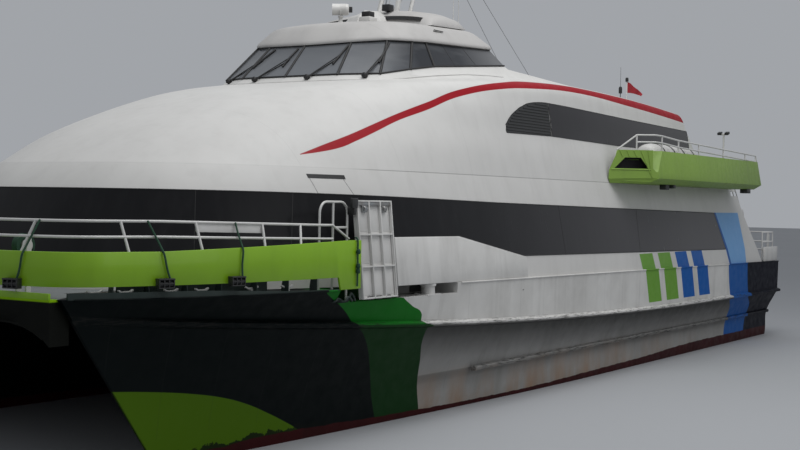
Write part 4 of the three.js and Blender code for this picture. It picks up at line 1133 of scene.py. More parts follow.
def band_top(x):
    return 3.82 + 0.14 * max(0.0, min(1.0, (15.5 - x) / 4.5))


def share_at(x):
    """Where along the band its centre line has this x."""
    return halved(lambda share: band_plan(share)[0] < x, 0.0, BAND_LAST, 31)


def rail_top(x):
    """The bow rail falls a little aft."""
    return 4.32 - 0.07 * max(0.0, min(1.0, (15.4 - x) / 4.0))


# x at the rail and x at the fender for each fender rope
FENDER_ROPES = ((17.10, 17.195), (15.60, 15.36), (13.82, 13.93))
FENDER_AT = (17.199, 15.467, 14.055)


def cord_curve(name, path, diameter, material, body="ship"):
    """A round rope as one open curve through the path's points."""
    data = bpy.data.curves.new(name, "CURVE")
    data.dimensions = "3D"
    data.bevel_depth, data.bevel_resolution = diameter / 2, 4
    data.use_fill_caps = True
    line = data.splines.new("POLY")
    line.points.add(len(path) - 1)
    for spot, point in zip(line.points, path):
        spot.co = (*point, 1.0)
    line.use_smooth = True
    data.materials.append(material)
    rope = bpy.data.objects.new(name, data)
    bpy.context.scene.collection.objects.link(rope)
    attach(rope, body)
    return rope


def rounded_path(points, count):
    """Evenly spaced points along a smooth curve through the given ones."""
    fine = [Vector(p) for p in smooth_line(points, 240)]
    steps = distances(fine)
    result, k = [], 0
    for target in spread(0.0, steps[-1], count):
        while k < len(steps) - 2 and steps[k + 1] < target:
            k += 1
        share = (target - steps[k]) / max(1e-9, steps[k + 1] - steps[k])
        result.append(tuple(fine[k].lerp(fine[k + 1], share)))
    return result


class FERRY_OT_ropes(bpy.types.Operator):
    """Hangs the fenders' ropes and a knotted spare rope, and sets up the mast's stays"""

    bl_idname = "ferry.ropes"
    bl_label = "Ropes and stays"

    def execute(self, context):
        size = sizes()
        thick = size.rope
        for number, (rail_x, fender_x) in enumerate(FENDER_ROPES, 1):
            at_rail, at_fender = share_at(rail_x + 0.05), share_at(fender_x)
            middle = (at_rail + at_fender) / 2
            top = band_top(band_plan(middle)[0])
            gap = BAND_HALF + thick / 2
            points = [(*band_beside(at_rail, RAIL_BESIDE + 0.022), rail_top(rail_x) + 0.01),
                      (*band_beside(at_rail * 0.8 + at_fender * 0.2, -0.12), rail_top(rail_x) - 0.17),
                      (*band_beside(middle, -0.005), top + gap + 0.035),
                      (*band_beside(at_rail * 0.4 + at_fender * 0.6, gap + 0.025), top - 0.06),
                      (*band_beside(at_rail * 0.2 + at_fender * 0.8, gap + 0.018), top - 0.3),
                      (*band_beside(at_fender, gap + 0.05), 3.30)]
            path = rounded_path(points, 32)
            rope = cord_curve(f"fender_rope_{number}", path, thick, green_rope())
        knot_x = 10.72
        share = share_at(knot_x)
        points = [(*band_beside(share, -0.02), band_top(knot_x) + 0.05),
                  (*band_beside(share, 0.045), band_top(knot_x) + 0.01),
                  (*band_beside(share, 0.05), 3.7), (*band_beside(share, 0.055), 3.4),
                  (*band_beside(share, 0.05), 3.06)]
        path = rounded_path(points, 24)
        rope = cord_curve("spare_rope", path, thick, green_rope())
        knot = [(0.0, -0.05), (0.035, -0.045), (0.046, -0.015), (0.040, 0.015), (0.032, 0.045), (0.0, 0.05)]
        lean = (0.15, 0.1, 1.0)
        knots = [turned(knot, (*band_beside(share, 0.066), z), lean, 16) for z in (3.74, 3.46, 3.36)]
        put("rope_knots", knots, green_rope(), slot="black_paint")
        for number, (top_y, foot_x, foot_y) in enumerate(((0.55, -0.35, 2.28), (0.85, -1.3, 2.6)), 1):
            for side, sign in SIDES.items():
                top = Vector((0.62, sign * top_y, 12.14))
                foot = Vector((foot_x, sign * foot_y, top_of("upper_house", foot_x, sign * foot_y) + 0.004))
                path = [tuple(top.lerp(foot, s)) for s in spread(0.0, 1.0, 16)]
                wire = cord_curve(f"stay_{number}_{side}", path, size.stay, wire_rope())
        return {"FINISHED"}


# x and y of the flag's staff, and how far the flag is turned from straight aft
FLAG_STAFF, FLAG_TURN = (-7.3, 3.0), math.radians(-57.0)


class FERRY_OT_flag(bpy.types.Operator):
    """Hangs the plain red flag on its staff"""

    bl_idname = "ferry.flag"
    bl_label = "Flag"

    def execute(self, context):
        width, height, thick, columns, rows = 0.66, 0.40, 0.0012, 40, 16
        staff, reach, top_z = Vector((*FLAG_STAFF, 0.0)), 0.0185, 8.692
        turn = Matrix.Rotation(FLAG_TURN, 3, "Z")
        rings = []
        for i in range(columns + 1):
            s = i / columns
            out = width * (0.74 * s + 0.02 * math.sin(3.0 * math.pi * s))
            top = top_z - 0.58 * width * s ** 1.2
            line = []
            for k in range(rows + 1):
                d = k / rows
                fold = 0.020 * math.sin(13.0 * s + 1.5 * d) * min(1.0, 4.0 * s)
                line.append((-reach - out * (1.0 - 0.10 * d * s), fold, top - height * (0.88 - 0.72 * s) * d))
            rings.append(line)
        solid = []
        for line in rings:
            faces = [(x, y - thick, z) for x, y, z in line] + [(x, y + thick, z) for x, y, z in line[::-1]]
            solid.append([tuple(staff + turn @ Vector(point)) for point in faces])
        cloth = put("flag_cloth_piece", [loft(solid)], flag_cloth(), "ship", "red_cloth", ["flag"], sharp=60,
                    weld=0)
        return {"FINISHED"}


# ---- Hulls and decks ----

# the mooring recess in each hull: x of its ends, z of its floor and y of its inner wall
RECESS = {"back": 6.75, "front": 11.2, "floor": 2.74, "inner": 4.25}
# where the hull's side is straight and plumb beside the midship deck
HULL_SIDE = 5.05
# how many strips lie between one of HULL_LINES and the next, where there is more than one
STRIPS = {1: 4, 2: 4, 3: 4, 7: 3, 8: 3, 9: 4, 10: 4, 11: 4}
# the lines after which the outer bottom is rounded, within the run of lines that shape it
ROUNDED, ROUNDED_RUN = (2, 3), slice(1, 5)


def hull_shape():
    shares = spread(0.0, 0.6, 37) + spread(0.6, 1.0, 73)[1:]
    rings = []
    for share in shares:
        column = [hull_point(line, share) for line in HULL_LINES]
        fine = []
        for i, (a, b) in enumerate(zip(column, column[1:] + column[:1])):
            cuts = STRIPS.get(i, 1)
            if i in ROUNDED:
                fine += [tuple(spline(column[ROUNDED_RUN], i - 1 + c / cuts)) for c in range(cuts)]
            else:
                fine += [tuple(p + (q - p) * c / cuts for p, q in zip(a, b)) for c in range(cuts)]
        rings.append(fine)
    return loft(rings)


class FERRY_OT_hulls(bpy.types.Operator):
    """Builds both hulls with their strakes, deck edges and mooring recesses"""

    bl_idname = "ferry.hulls"
    bl_label = "Hulls"

    def execute(self, context):
        recess = block(RECESS["back"], RECESS["front"], RECESS["inner"], 5.4, RECESS["floor"], 3.4)
        shape = carved([hull_shape()], [recess])
        strake = swept([(-0.10, -0.055), (-0.10, 0.055), (0.012, 0.045), (0.020, 0.02), (0.020, -0.025),
                        (0.012, -0.05)],
                       [(x, 4.70, 0.89) for x in spread(TRANSOM, 5.3, 60)])
        lip = [(x, deck_edge(x) + 0.004, deck_z(x) - 0.012) for x in spread(TRANSOM + 0.01, 16.9, 160)]
        aft_lip = [p for p in lip if p[0] <= RECESS["back"] - 0.02]
        fore_lip = [p for p in lip if p[0] >= RECESS["front"] + 0.02]
        for side, sign in SIDES.items():
            parts = [shape, strake] if sign > 0 else [mirrored(shape), mirrored(strake)]
            mesh = mesh_of(f"hull_{side}_plating", parts)
            for face in mesh.polygons:
                face.material_index = 1 if face.normal.z > 0.9 and face.center.z > 2.6 else 0
            settle(f"hull_{side}_plating", mesh, [hull_paint(), deck_paint()], "ship",
                   [f"hull_{side}", f"side_deck_{side}"], sharp=24)
        bars_both("deck_edge_bar", [aft_lip, fore_lip], 0.02, hull_paint(), sides=10)
        self.fittings()
        return {"FINISHED"}

    def fittings(self):
        floor = RECESS["floor"]
        head = turned([(0.0, -0.01), (0.17, -0.01), (0.17, 0.0), (0.155, 0.02), (0.15, 0.17), (0.18, 0.20),
                       (0.18, 0.23), (0.16, 0.245), (0.0, 0.25)], (7.70, 4.85, floor), (0, 0, 1), 32)
        plate = block(7.42, 7.98, 4.66, 5.02, floor - 0.01, floor + 0.02)
        put_both("recess_bollards", [head, plate], fitting_paint(), slot="white_paint")
        ports = [block(x0, x1, 4.252, 4.262, floor + 0.004, floor + 0.20)
                 for x0, x1 in ((6.79, 7.50), (8.1, 8.9))]
        put_both("freeing_ports", ports, gasket(), slot="black_paint", bevel=0.004)
        pipe = [(0.0, -0.02), (0.055, -0.02), (0.055, 0.006), (0.035, 0.006), (0.035, -0.004), (0.0, -0.004)]
        scuppers = [turned(pipe, (x, HULL_SIDE - 0.012, z), (0, 1, 0), 16)
                    for x, z in ((-2.24, 2.64), (3.6, 2.70), (-8.6, 2.60))]
        put_both("scuppers", scuppers, gasket(), slot="black_paint")


class FERRY_OT_decks(bpy.types.Operator):
    """Dresses the bridge deck, its hatches and the aft bulwarks"""

    bl_idname = "ferry.decks"
    bl_label = "Decks"

    def execute(self, context):
        paint = bridge_deck_paint()
        dressed("bridge_deck", paint, bevel=0.0, sharp=30)
        for side in SIDES:
            dressed(f"engine_hatch_{side}", deck_paint(), bevel=0.008)
            dressed(f"aft_bulwark_{side}", fitting_paint(), bevel=0.012)
            dressed(f"engine_{side}", bright_steel(), bevel=0.02)
        arch = [(-3.5, 2.42), (-3.15, 2.57), (-2.6, 2.66), (0.0, 2.675), (2.6, 2.66), (3.15, 2.57),
                (3.5, 2.42)]
        bars("tunnel_arch_edge",
             [[(17.238, y, z) for y, z, _ in smooth_line([(y, z, 0.0) for y, z in arch], 60)]],
             0.018, paint, slot="lime_paint")
        lid = [(0.0, 0.0), (0.30, 0.0), (0.30, 0.03), (0.27, 0.05), (0.0, 0.055)]
        lids = [turned(lid, (x, y, deck_z(x)), (0, 0, 1), 32) for x, y in ((13.9, 3.6), (14.9, 3.4))]
        put_both("deck_hatches", lids, deck_paint(), slot="deck_grey")
        self.hose_reel(16.45, 2.015)
        return {"FINISHED"}

    def hose_reel(self, x, y):
        floor = top_of("bridge_deck", 16.45, 2.1, 3.6)
        middle = floor + 0.82
        legs = [block(x - 0.05, x + 0.05, y0, y0 + 0.04, floor, floor + 0.95) for y0 in (1.98, 2.22)]
        drum = turned([(0.0, 0.0), (0.11, 0.0), (0.11, 0.02), (0.07, 0.03), (0.07, 0.18), (0.11, 0.19),
                       (0.11, 0.21), (0.0, 0.21)],
                      (x, y, middle), (0, 1, 0), 32)
        put_both("hose_reel", [*legs, drum], fitting_paint(), slot="white_paint")
        hose = []
        for inner in (0.11, 0.155):
            turn = [(inner, 0.035), (inner + 0.045, 0.035), (inner + 0.045, 0.075), (inner, 0.075)]
            hose += [turned(turn, (x, y + shift, middle), (0, 1, 0), 32, closed=True)
                     for shift in (0.0, 0.045, 0.09)]
        put_both("hose_on_reel", hose, green_rope(), slot="green_paint")


# ---- Houses and windows ----

# x of the alcove's front wall aft of the main house, and of the hollow's aft end inside it
ALCOVE_FRONT, HOLLOW_BACK = -13.29, -13.27


class FERRY_OT_main_house(bpy.types.Operator):
    """Builds the main deck's house, hollow behind its aft doors"""

    bl_idname = "ferry.main_house"
    bl_label = "Main house"

    def execute(self, context):
        outer = loft([ring(lambda t, one=level: plan_point(one, t)) for level in (DECK, SILL, HEAD, SEAM)],
                     "pairs")
        few = spread(0.0, 1.0, 9) + spread(1.0, 2.0, 4)[1:]
        short = [(*level[:3], HOLLOW_BACK, *level[4:]) for level in (DECK, SILL, HEAD, SEAM)]
        drops = (0.2, 0.0, 0.0, 0.08)
        inner = loft([ring(lambda t, one=level, d=drop: plan_point(one, t, 0.07, d), few)
                      for level, drop in zip(short, drops)], "pairs")
        alcove = block(-16.5, ALCOVE_FRONT, -4.48, 4.48, 2.5, 5.3)
        doorway = block(-13.6, -13.0, -0.8, 0.8, 2.5, 4.85)
        shape = carved([outer], [inner, alcove, doorway])
        put("main_house_shell", [shape], house_paint(), "ship", "white_paint", ["main_house"], sharp=28)
        corners = [[self.on_side(x, z, proud) for x in spread(10.88, 9.9, 16)]
                   for z, proud in ((5.245, 0.006), (5.165, 0.006), (5.165, -0.01), (5.245, -0.01))]
        put_both("side_slot", [loft(list(zip(*corners)))], gasket(), slot="black_paint")
        seams = []
        for a, b in (((10.85, 5.17), (10.79, 4.75)), ((9.97, 5.17), (9.8, 4.77)),
                     ((10.79, 4.75), (9.8, 4.77))):
            seams.append([self.on_side(a[0] + (b[0] - a[0]) * s, a[1] + (b[1] - a[1]) * s, 0.0)
                          for s in spread(0, 1, 8)])
        bars_both("panel_seams", seams, 0.004, gasket(), slot="black_paint", sides=6)
        return {"FINISHED"}

    def on_side(self, x, z, proud):
        v, t = on_wall(wall_point, x, z, 2.0, 3.0)
        return tuple(Vector(wall_point(v, t)) + outward(wall_point, min(v, 2.99), t) * proud)


# x where the main windows end aft, at the sill and at the head
GLASS_AFT = (-11.60, -11.13)


def window_columns():
    """Stops of the main window band: t at the sill and at the head, from the centre line to the aft end."""
    columns = [(t, t) for t in FRONT_T]
    low_end = 1.0 + (GLASS_AFT[0] - SILL[1]) / (SILL[3] - SILL[1])
    high_end = 1.0 + (GLASS_AFT[1] - HEAD[1]) / (HEAD[3] - HEAD[1])
    columns += [(1.0 + (low_end - 1.0) * s, 1.0 + (high_end - 1.0) * s) for s in spread(0.0, 1.0, 33)[1:]]
    return columns


def band_at(low_t, high_t, share, proud):
    a, b = plan_point(SILL, low_t, -proud), plan_point(HEAD, high_t, -proud)
    return tuple(p + (q - p) * share for p, q in zip(a, b))


class FERRY_OT_windows(bpy.types.Operator):
    """Fits the window bands of both decks, with their joints and gaskets"""

    bl_idname = "ferry.windows"
    bl_label = "Windows"

    def execute(self, context):
        self.main_band()
        self.upper_band()
        return {"FINISHED"}

    def main_band(self):
        size = sizes()
        proud, back = size.glass_proud, size.glass_proud - size.glass_thick
        columns = window_columns()
        rows = spread(0.006, 0.994, 6)
        strips = [(s, proud) for s in rows] + [(s, back) for s in reversed(rows)]
        rings = [[band_at(*at, s, out) for s, out in strips] for at in columns]
        other = [flipped(one) for one in reversed(rings[1:])]
        put("main_window_band", [loft(other + rings)], cabin_glass(), "ship", "window_glass",
            ["glass_main_port", "glass_main_starboard", "glass_main_front"], sharp=40)
        edges = [both_halves([band_at(*at, share, 0.002) for at in columns]) for share in (0.0, 1.0)]
        bars("main_window_edges", edges, 0.012, gasket(), slot="black_paint", sides=8)
        at_joints = ((13.62, 13.24), (11.80, 11.42), (0.98, 0.9), (-4.04, -4.31), GLASS_AFT)
        joints = [self.joint(x_low, x_high, proud) for x_low, x_high in at_joints]
        bars_both("main_window_joints", joints, 0.008, gasket(), slot="black_paint", sides=6)

    def joint(self, x_low, x_high, proud):
        low, high = (halved(lambda t: plan_point(level, t)[0] > x, 0.0, 2.0, 30)
                     for x, level in ((x_low, SILL), (x_high, HEAD)))
        return [band_at(low, high, s, proud - 0.003) for s in spread(0.004, 0.996, 7)]

    def patch(self, xs, foot, top, proud, back, rows=8):
        """A thin plate on the dome over a row of x, between two lines of height."""
        rings = []
        for x in xs:
            column = [dome_spot(x, z) for z in spread(foot(x), top(x), rows)]
            face = [tuple(p + n * proud) for p, n in column]
            rings.append(face + [tuple(p + n * back) for p, n in reversed(column)])
        return loft(rings)

    def height_line(self, points):
        """The height of a line of straight stretches, as a function of x."""
        def height(x):
            for (x0, z0), (x1, z1) in zip(points, points[1:]):
                if x <= x1:
                    return z0 + (z1 - z0) * (x - x0) / (x1 - x0)
            return points[-1][1]
        return height

    def upper_band(self):
        size = sizes()
        proud, back = size.glass_proud, size.glass_proud - size.glass_thick
        top = self.height_line([(-10.06, 7.24), (-5.08, 7.32), (-0.66, 7.41), (0.61, 7.42), (1.1, 7.39),
                                (1.57, 7.33), (2.1, 7.17),
                                (2.57, 6.96), (2.8, 6.80), (2.93, 6.69), (2.97, 6.52)])
        foot = self.height_line([(-10.06, 6.50), (-3.82, 6.49), (0.4, 6.54), (2.97, 6.50)])
        glass = self.patch(spread(-9.95, 0.36, 44), foot, top, proud, back)
        louvre = self.patch(spread(0.40, 1.5, 8) + spread(1.6, 2.96, 22), foot, top, proud - 0.004, back)
        put_both("upper_window", [glass], cabin_glass(), slot="window_glass", replaces=["glass_upper_*"])
        put_both("upper_louvre", [louvre], black_paint(), slot="black_paint", replaces=["louvre_*"])
        slats = []
        for share in (k / 12 for k in range(1, 12)):
            z = 6.50 + share * 0.92
            slat = [on_dome(x, z, proud + 0.004) for x in spread(0.44, 2.9, 22)
                    if foot(x) + 0.03 < z < top(x) - 0.03]
            if len(slat) > 2:
                slats.append(slat)
        bars_both("louvre_slats", slats, 0.011, black_paint(), slot="black_paint", sides=6)
        rim = [[on_dome(x, edge(x), 0.002) for x in spread(-9.95, 2.93, 60)] for edge in (top, foot)]
        rim += [[on_dome(x, foot(x) + (top(x) - foot(x)) * s, proud - 0.002) for s in spread(0.0, 1.0, 7)]
                for x in (-9.95, 0.38)]
        bars_both("upper_window_edges", rim, 0.009, gasket(), slot="black_paint", sides=8)


class FERRY_OT_upper_house(bpy.types.Operator):
    """Builds the domed upper house up to the wheelhouse's head"""

    bl_idname = "ferry.upper_house"
    bl_label = "Upper house"

    def execute(self, context):
        skirts = [ring(lambda t, one=v: dome_point(one, t)) for v in spread(0.0, 5.0, 31)]
        sill = ring(lambda t: wheel_point(-0.12, t, -0.04, -0.04))
        rings = skirts + [between(skirts[-1], sill, s) for s in (0.33, 0.67)] + [
            sill, ring(lambda t: wheel_point(0.0, t)), ring(lambda t: wheel_point(1.0, t))]
        outer = loft(rings, "pairs")
        few = spread(0.0, 1.0, 8) + spread(1.0, 2.0, 4)[1:]
        hollow = [ring(lambda t, one=level, d=(0.3 if i == 0 else 0.07): plan_point(one, t, 0.09, d), few)
                  for i, level in enumerate(UPPER)]
        hollow += [ring(lambda t: wheel_point(-0.12, t, 0.06, -0.11), few),
                   ring(lambda t: wheel_point(0.0, t, 0.075, -0.02), few),
                   ring(lambda t: wheel_point(1.0, t, 0.075, -0.05), few)]
        casing = block(-11.02, -9.8, -0.5, 0.5, 5.3808, 7.38)
        doorway = block(-11.07, -9.0, -0.42, 0.42, 5.46, 7.30)
        shape = carved([outer], [loft(hollow, "pairs"), doorway], [casing])
        mesh = mesh_of("upper_house_shell", [shape])
        for face in mesh.polygons:
            x, _, z = face.center
            at_windows = z > height_along(wheel_corners(0.0), x) + 0.012 and z > 7.7 and x > 0.2
            face.material_index = 1 if at_windows and abs(face.normal.z) < 0.85 else 0
        settle("upper_house_shell", mesh, [house_paint(), gasket()], "ship", ["upper_house"],
               sharp=30)
        self.gutter()
        return {"FINISHED"}

    def gutter(self):
        path = []
        for t in spread(0.0, 1.06, 40):
            a, b = Vector(dome_point(5.0, t)), Vector(wheel_point(-0.12, t, -0.04, -0.04))
            path.append(tuple(a.lerp(b, 0.55) + Vector((0, 0, 0.012))))
        bars_both("wheelhouse_gutter", [path], 0.011, rail_paint(), slot="white_paint", sides=8)


# ---- Wheelhouse, mast and lamps ----


def even_ring(points, count, width):
    """A closed ring resampled evenly, its corners rounded over a given width."""
    loop = [Vector(p) for p in points]
    steps = distances(loop + loop[:1])
    total = steps[-1]

    def at(distance):
        distance %= total
        k = max(i for i, s in enumerate(steps[:-1]) if s <= distance + 1e-12)
        share = (distance - steps[k]) / max(1e-9, steps[k + 1] - steps[k])
        return loop[k].lerp(loop[(k + 1) % len(loop)], share)
    taps = spread(-0.5, 0.5, 9)
    result = []
    for i in range(count):
        middle = total * i / count
        result.append(tuple(sum((at(middle + width * w) for w in taps), Vector()) / len(taps)))
    return result


class FERRY_OT_wheelhouse(bpy.types.Operator):
    """Glazes the wheelhouse and fits its mullions, wipers and roof"""

    bl_idname = "ferry.wheelhouse"
    bl_label = "Wheelhouse"

    def execute(self, context):
        proud, back = 0.006, -0.014
        stops = [t for t in ALL_T if t <= 2.0]
        heights = (0.04, 0.5, 0.95)
        strips = [(h, proud) for h in heights] + [(h, back) for h in reversed(heights)]
        rings = [[wheel_point(h, t, -out) for h, out in strips] for t in stops]
        other = [flipped(one) for one in reversed(rings[1:])]
        put("wheelhouse_windows", [loft(other + rings)], bridge_glass(), "ship", "window_glass",
            ["glass_wheelhouse"], sharp=12)
        posts = [[wheel_point(h, t, -0.012) for h in spread(0.0, 1.0, 5)] for t in WHEEL_STOPS[1:5]]
        joints = [[wheel_point(h, t + 0.05 * (0.5 - h), -0.004) for h in spread(0.04, 0.95, 5)]
                  for t in (1.16, 1.5)]
        bars_both("wheelhouse_side_joints", joints, 0.008, gasket(), slot="black_paint", sides=6)
        bars_both("wheelhouse_mullions", posts, 0.034, gasket(), slot="black_paint", sides=8)
        bars("wheelhouse_centre_mullion", [[wheel_point(h, 0.0, -0.012) for h in (0.0, 1.0)]], 0.032,
             gasket(),
             slot="black_paint", sides=8)
        edges = [both_halves([wheel_point(h, t, out) for t in stops])
                 for h, out in ((0.02, -0.012), (0.975, -0.008))]
        bars("wheelhouse_window_edges", edges, 0.022, gasket(), slot="black_paint", sides=8)
        self.wipers()
        self.roof()
        return {"FINISHED"}

    def wipers(self):
        """Four wipers at rest, all laid over to port; a place is t with its side's sign."""
        arms, blades, hubs = [], [], []

        def glass(h, place, out):
            x, y, z = wheel_point(h, abs(place), -out)
            return (x, y if place > 0 else -y, z)
        for hub, low, high in ((-0.46, -0.27, -0.22), (-0.18, -0.06, -0.035), (0.13, 0.235, 0.275),
                               (0.47, 0.545, 0.585)):
            foot, middle = glass(-0.03, hub, 0.06), glass(0.62, (low + high) / 2, 0.07)
            arms.append([foot, middle])
            arms.append([tuple(Vector(foot) + Vector((0.0, 0.05, 0.01))),
                         tuple(Vector(middle) - Vector((0.0, 0.0, 0.06)))])
            blades.append([glass(0.34, low, 0.045), middle, glass(0.90, high, 0.045)])
            hubs.append(turned([(0.0, -0.05), (0.065, -0.05), (0.065, 0.04), (0.04, 0.06), (0.0, 0.06)], foot,
                               (1, 0, 0.3), 16))
        bars("wiper_arms", arms, 0.013, gasket(), slot="black_paint", sides=8)
        bars("wiper_blades", blades, 0.026, gasket(), slot="black_paint", sides=8)
        put("wiper_hubs", hubs, gasket(), slot="black_paint")

    def roof(self):
        # how far the roof's edge is inset, its lift, and the width over which its corners are rounded
        levels = ((0.02, -0.005, 0.3), (-0.04, -0.008, 0.3), (-0.085, 0.0, 0.3), (-0.095, 0.025, 0.3),
                  (-0.088, 0.06, 0.3), (-0.06, 0.105, 0.3), (0.06, 0.225, 0.35), (0.18, 0.345, 0.35),
                  (0.27, 0.425, 0.4), (0.33, 0.463, 0.5), (0.42, 0.492, 0.6), (0.6, 0.525, 0.8),
                  (0.9, 0.562, 1.0), (1.4, 0.595, 1.0), (2.2, 0.60, 0.4))
        shapes = [even_ring(ring(lambda t: wheel_point(1.0, t, inset, lift)), 160, width)
                  for inset, lift, width in levels]
        put("wheelhouse_roof_shell", [loft(shapes)], house_paint(), "ship", "white_paint",
            ["wheelhouse_roof"], sharp=38)
        slats = [block(-0.22, 0.22, -0.012, 0.012, k * 0.035, 0.018 + k * 0.035) for k in range(4)]
        x, y = 3.05, 2.12
        place = Matrix.Translation((x, y, roof_z(x) - 0.34)) @ Matrix.Rotation(math.radians(-38), 4, "X")
        put_both("roof_vents", [moved(one, place) for one in slats], gasket(), slot="black_paint",
                 bevel=0.003)


class FERRY_OT_mast(bpy.types.Operator):
    """Builds the mast with its pod, radars, lamps and the searchlight"""

    bl_idname = "ferry.mast"
    bl_label = "Mast and lamps"

    def execute(self, context):
        dressed("mast", fitting_paint(), bevel=0.02, sharp=40)
        low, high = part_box("radar_scanner")
        x, z = (low.x + high.x) / 2, high.z - 0.065
        outline = [(0.07 * math.cos(a), 0.065 * math.sin(a))
                   for a in (2 * math.pi * i / 16 for i in range(16))]
        ends = ((-0.70, 0.35), (-0.692, 0.8), (-0.67, 1.0), (0.67, 1.0), (0.692, 0.8), (0.70, 0.35))
        bar = [[(x + a * size, y, z + b * size) for a, b in outline] for y, size in ends]
        hub = turned([(0.0, 0.0), (0.11, 0.0), (0.11, 0.02), (0.09, 0.05), (0.085, 0.075), (0.0, 0.075)],
                     (x, 0.0, low.z + 0.001), (0, 0, 1), 28)
        put("radar_bar", [loft(bar), hub], fitting_paint(), "radar", "white_paint", ["radar_scanner"])
        self.searchlight()
        self.gear()
        return {"FINISHED"}

    def searchlight(self):
        """A long lamp that points forward to starboard, with its cooling fins, yoke and post."""
        x, z = 4.3, 9.64
        heading = Matrix.Translation((x, 0.0, z)) @ Matrix.Rotation(math.radians(-57.0), 4, "Z")
        middle = (0.0, 0.0, 0.0)
        drum = turned([(0.0, -0.215), (0.10, -0.215), (0.135, -0.20), (0.148, -0.16), (0.148, 0.18),
                       (0.15, 0.19), (0.15, 0.215),
                       (0.138, 0.215), (0.134, 0.19), (0.0, 0.185)], middle, (1, 0, 0), 40)
        fins = [turned([(0.147, d), (0.156, d), (0.156, d + 0.012), (0.147, d + 0.012)], middle, (1, 0, 0),
                       40, closed=True)
                for d in (-0.14, -0.10, -0.06, -0.02)]
        yoke = swept([(-0.02, -0.012), (0.02, -0.012), (0.02, 0.012), (-0.02, 0.012)],
                     [(0.0, 0.165 * math.cos(a), -0.02 - 0.17 * math.sin(a))
                      for a in spread(0.0, math.pi, 17)], up=(1, 0, 0))
        foot = roof_z(x) - 0.02
        post = turned([(0.0, 0.0), (0.10, 0.0), (0.10, 0.02), (0.055, 0.05), (0.045, z - 0.22 - foot),
                       (0.07, z - 0.2 - foot),
                       (0.07, z - 0.17 - foot), (0.0, z - 0.17 - foot)], (x, 0.0, foot), (0, 0, 1), 24)
        put("searchlight_lamp", [moved(part, heading) for part in [drum, yoke] + fins] + [post],
            fitting_paint(), "ship",
            "white_paint", ["searchlight"])
        lens = turned([(0.0, 0.192), (0.10, 0.190), (0.133, 0.187), (0.133, 0.178), (0.0, 0.178)], middle,
                      (1, 0, 0), 32)
        put("searchlight_lens", [moved(lens, heading)], bridge_glass(), "ship", "window_glass")
        box = moved(block(-0.30, -0.21, -0.06, 0.06, -0.07, 0.07), heading)
        put("searchlight_box", [box], black_paint(), "ship", "black_paint", bevel=0.01)

    def fairing(self):
        """The low cowl across the roof in front of the mast, with its dark air slot, and a lamp pedestal."""
        wide = 1.95
        profile = ((1.25, -0.03), (1.3, 0.5), (1.5, 0.85), (1.9, 1.0), (2.4, 0.97), (2.75, 0.80),
                   (2.95, 0.45), (3.02, -0.03))
        rings = []
        for y in spread(-wide, wide, 41):
            top = 0.46 * self.fall(y, wide) ** 0.8 + 0.004
            rings.append([(x, y, roof_z(x) - 0.05 - 0.02 * abs(y) + (0.05 + top) * max(0.0, lift))
                          for x, lift in profile])
        put("roof_cowl", [loft(rings)], house_paint(), "ship", "white_paint", sharp=60)
        slit = []
        for y in spread(-1.6, 1.6, 31):
            z = roof_z(2.9) + 0.25 * self.fall(y, wide) - 0.05
            slit.append([(2.82, y, z - 0.045), (3.005, y, z - 0.045), (2.965, y, z + 0.045),
                         (2.82, y, z + 0.045)])
        put("cowl_slot", [loft(slit)], gasket(), "ship", "black_paint")
        stand = [block(3.5, 3.85, 0.25, 0.60, roof_z(3.7) - 0.03, roof_z(3.7) + 0.16)]
        put("lamp_pedestal", stand, fitting_paint(), "ship", "white_paint", bevel=0.03)
        put("pedestal_lamp", [block(3.55, 3.80, 0.30, 0.55, roof_z(3.7) + 0.158, roof_z(3.7) + 0.30)],
            black_paint(), "ship",
            "black_paint", bevel=0.02)

    def fall(self, y, wide):
        """How the cowl's height falls off from the middle to its ends, 1 to 0."""
        return math.sqrt(max(0.0, 1.0 - (y / wide) ** 2))
    def gear(self):
        """A second lamp, radome, horns and whips on the mast and roof."""
        dome = [(0.0, 0.0), (0.12, 0.0), (0.12, 0.02), (0.26, 0.05), (0.30, 0.11), (0.28, 0.19), (0.20, 0.26),
                (0.0, 0.285)]
        horn = [(0.0, 0.0), (0.025, 0.0), (0.03, 0.1), (0.05, 0.22), (0.085, 0.27), (0.06, 0.272),
                (0.0, 0.10)]
        lamp = [(0.0, 0.0), (0.06, 0.0), (0.06, 0.02), (0.05, 0.03), (0.05, 0.12), (0.06, 0.13), (0.06, 0.15),
                (0.0, 0.16)]
        parts = [turned(dome, (0.95, 0.0, 11.16), (0, 0, 1), 32)]
        parts += [turned(horn, (2.35, y, 10.35), (1, 0, 0), 20) for y in (-0.3, 0.3)]
        parts += [turned(lamp, (0.66 if y else 0.69, y, z), (0, 0, 1), 20)
                  for y, z in ((0.0, 12.45), (0.0, 12.85), (0.35, 12.19), (-0.35, 12.19))]
        put("mast_fittings", parts, fitting_paint(), "ship", "white_paint")
        shape, lean = block(-0.09, 0.09, -0.07, 0.07, -0.06, 0.06), Matrix.Rotation(0.35, 4, "Y")
        lamps = [moved(shape, Matrix.Translation((2.02, y, 11.0)) @ lean) for y in (-0.36, 0.36)]
        lamps.append(block(2.6, 2.85, 0.30, 0.52, 9.78, 9.95))
        put("mast_lamps", lamps, black_paint(), "ship", "black_paint", bevel=0.012)
        self.fairing()
        whips = [[(x, y, roof_z(max(x, 0.65)) - sunk), (x, y, top)]
                 for x, y, sunk, top in ((-0.15, 0.9, 0.35, 11.6), (0.35, -1.1, 0.3, 11.3),
                                         (0.9, 1.35, 0.2, 10.9))]
        bars("roof_whips", whips, 0.012, rail_paint(), slot="white_paint", sides=8)


# ---- Bow bulwark, rails and ramps ----


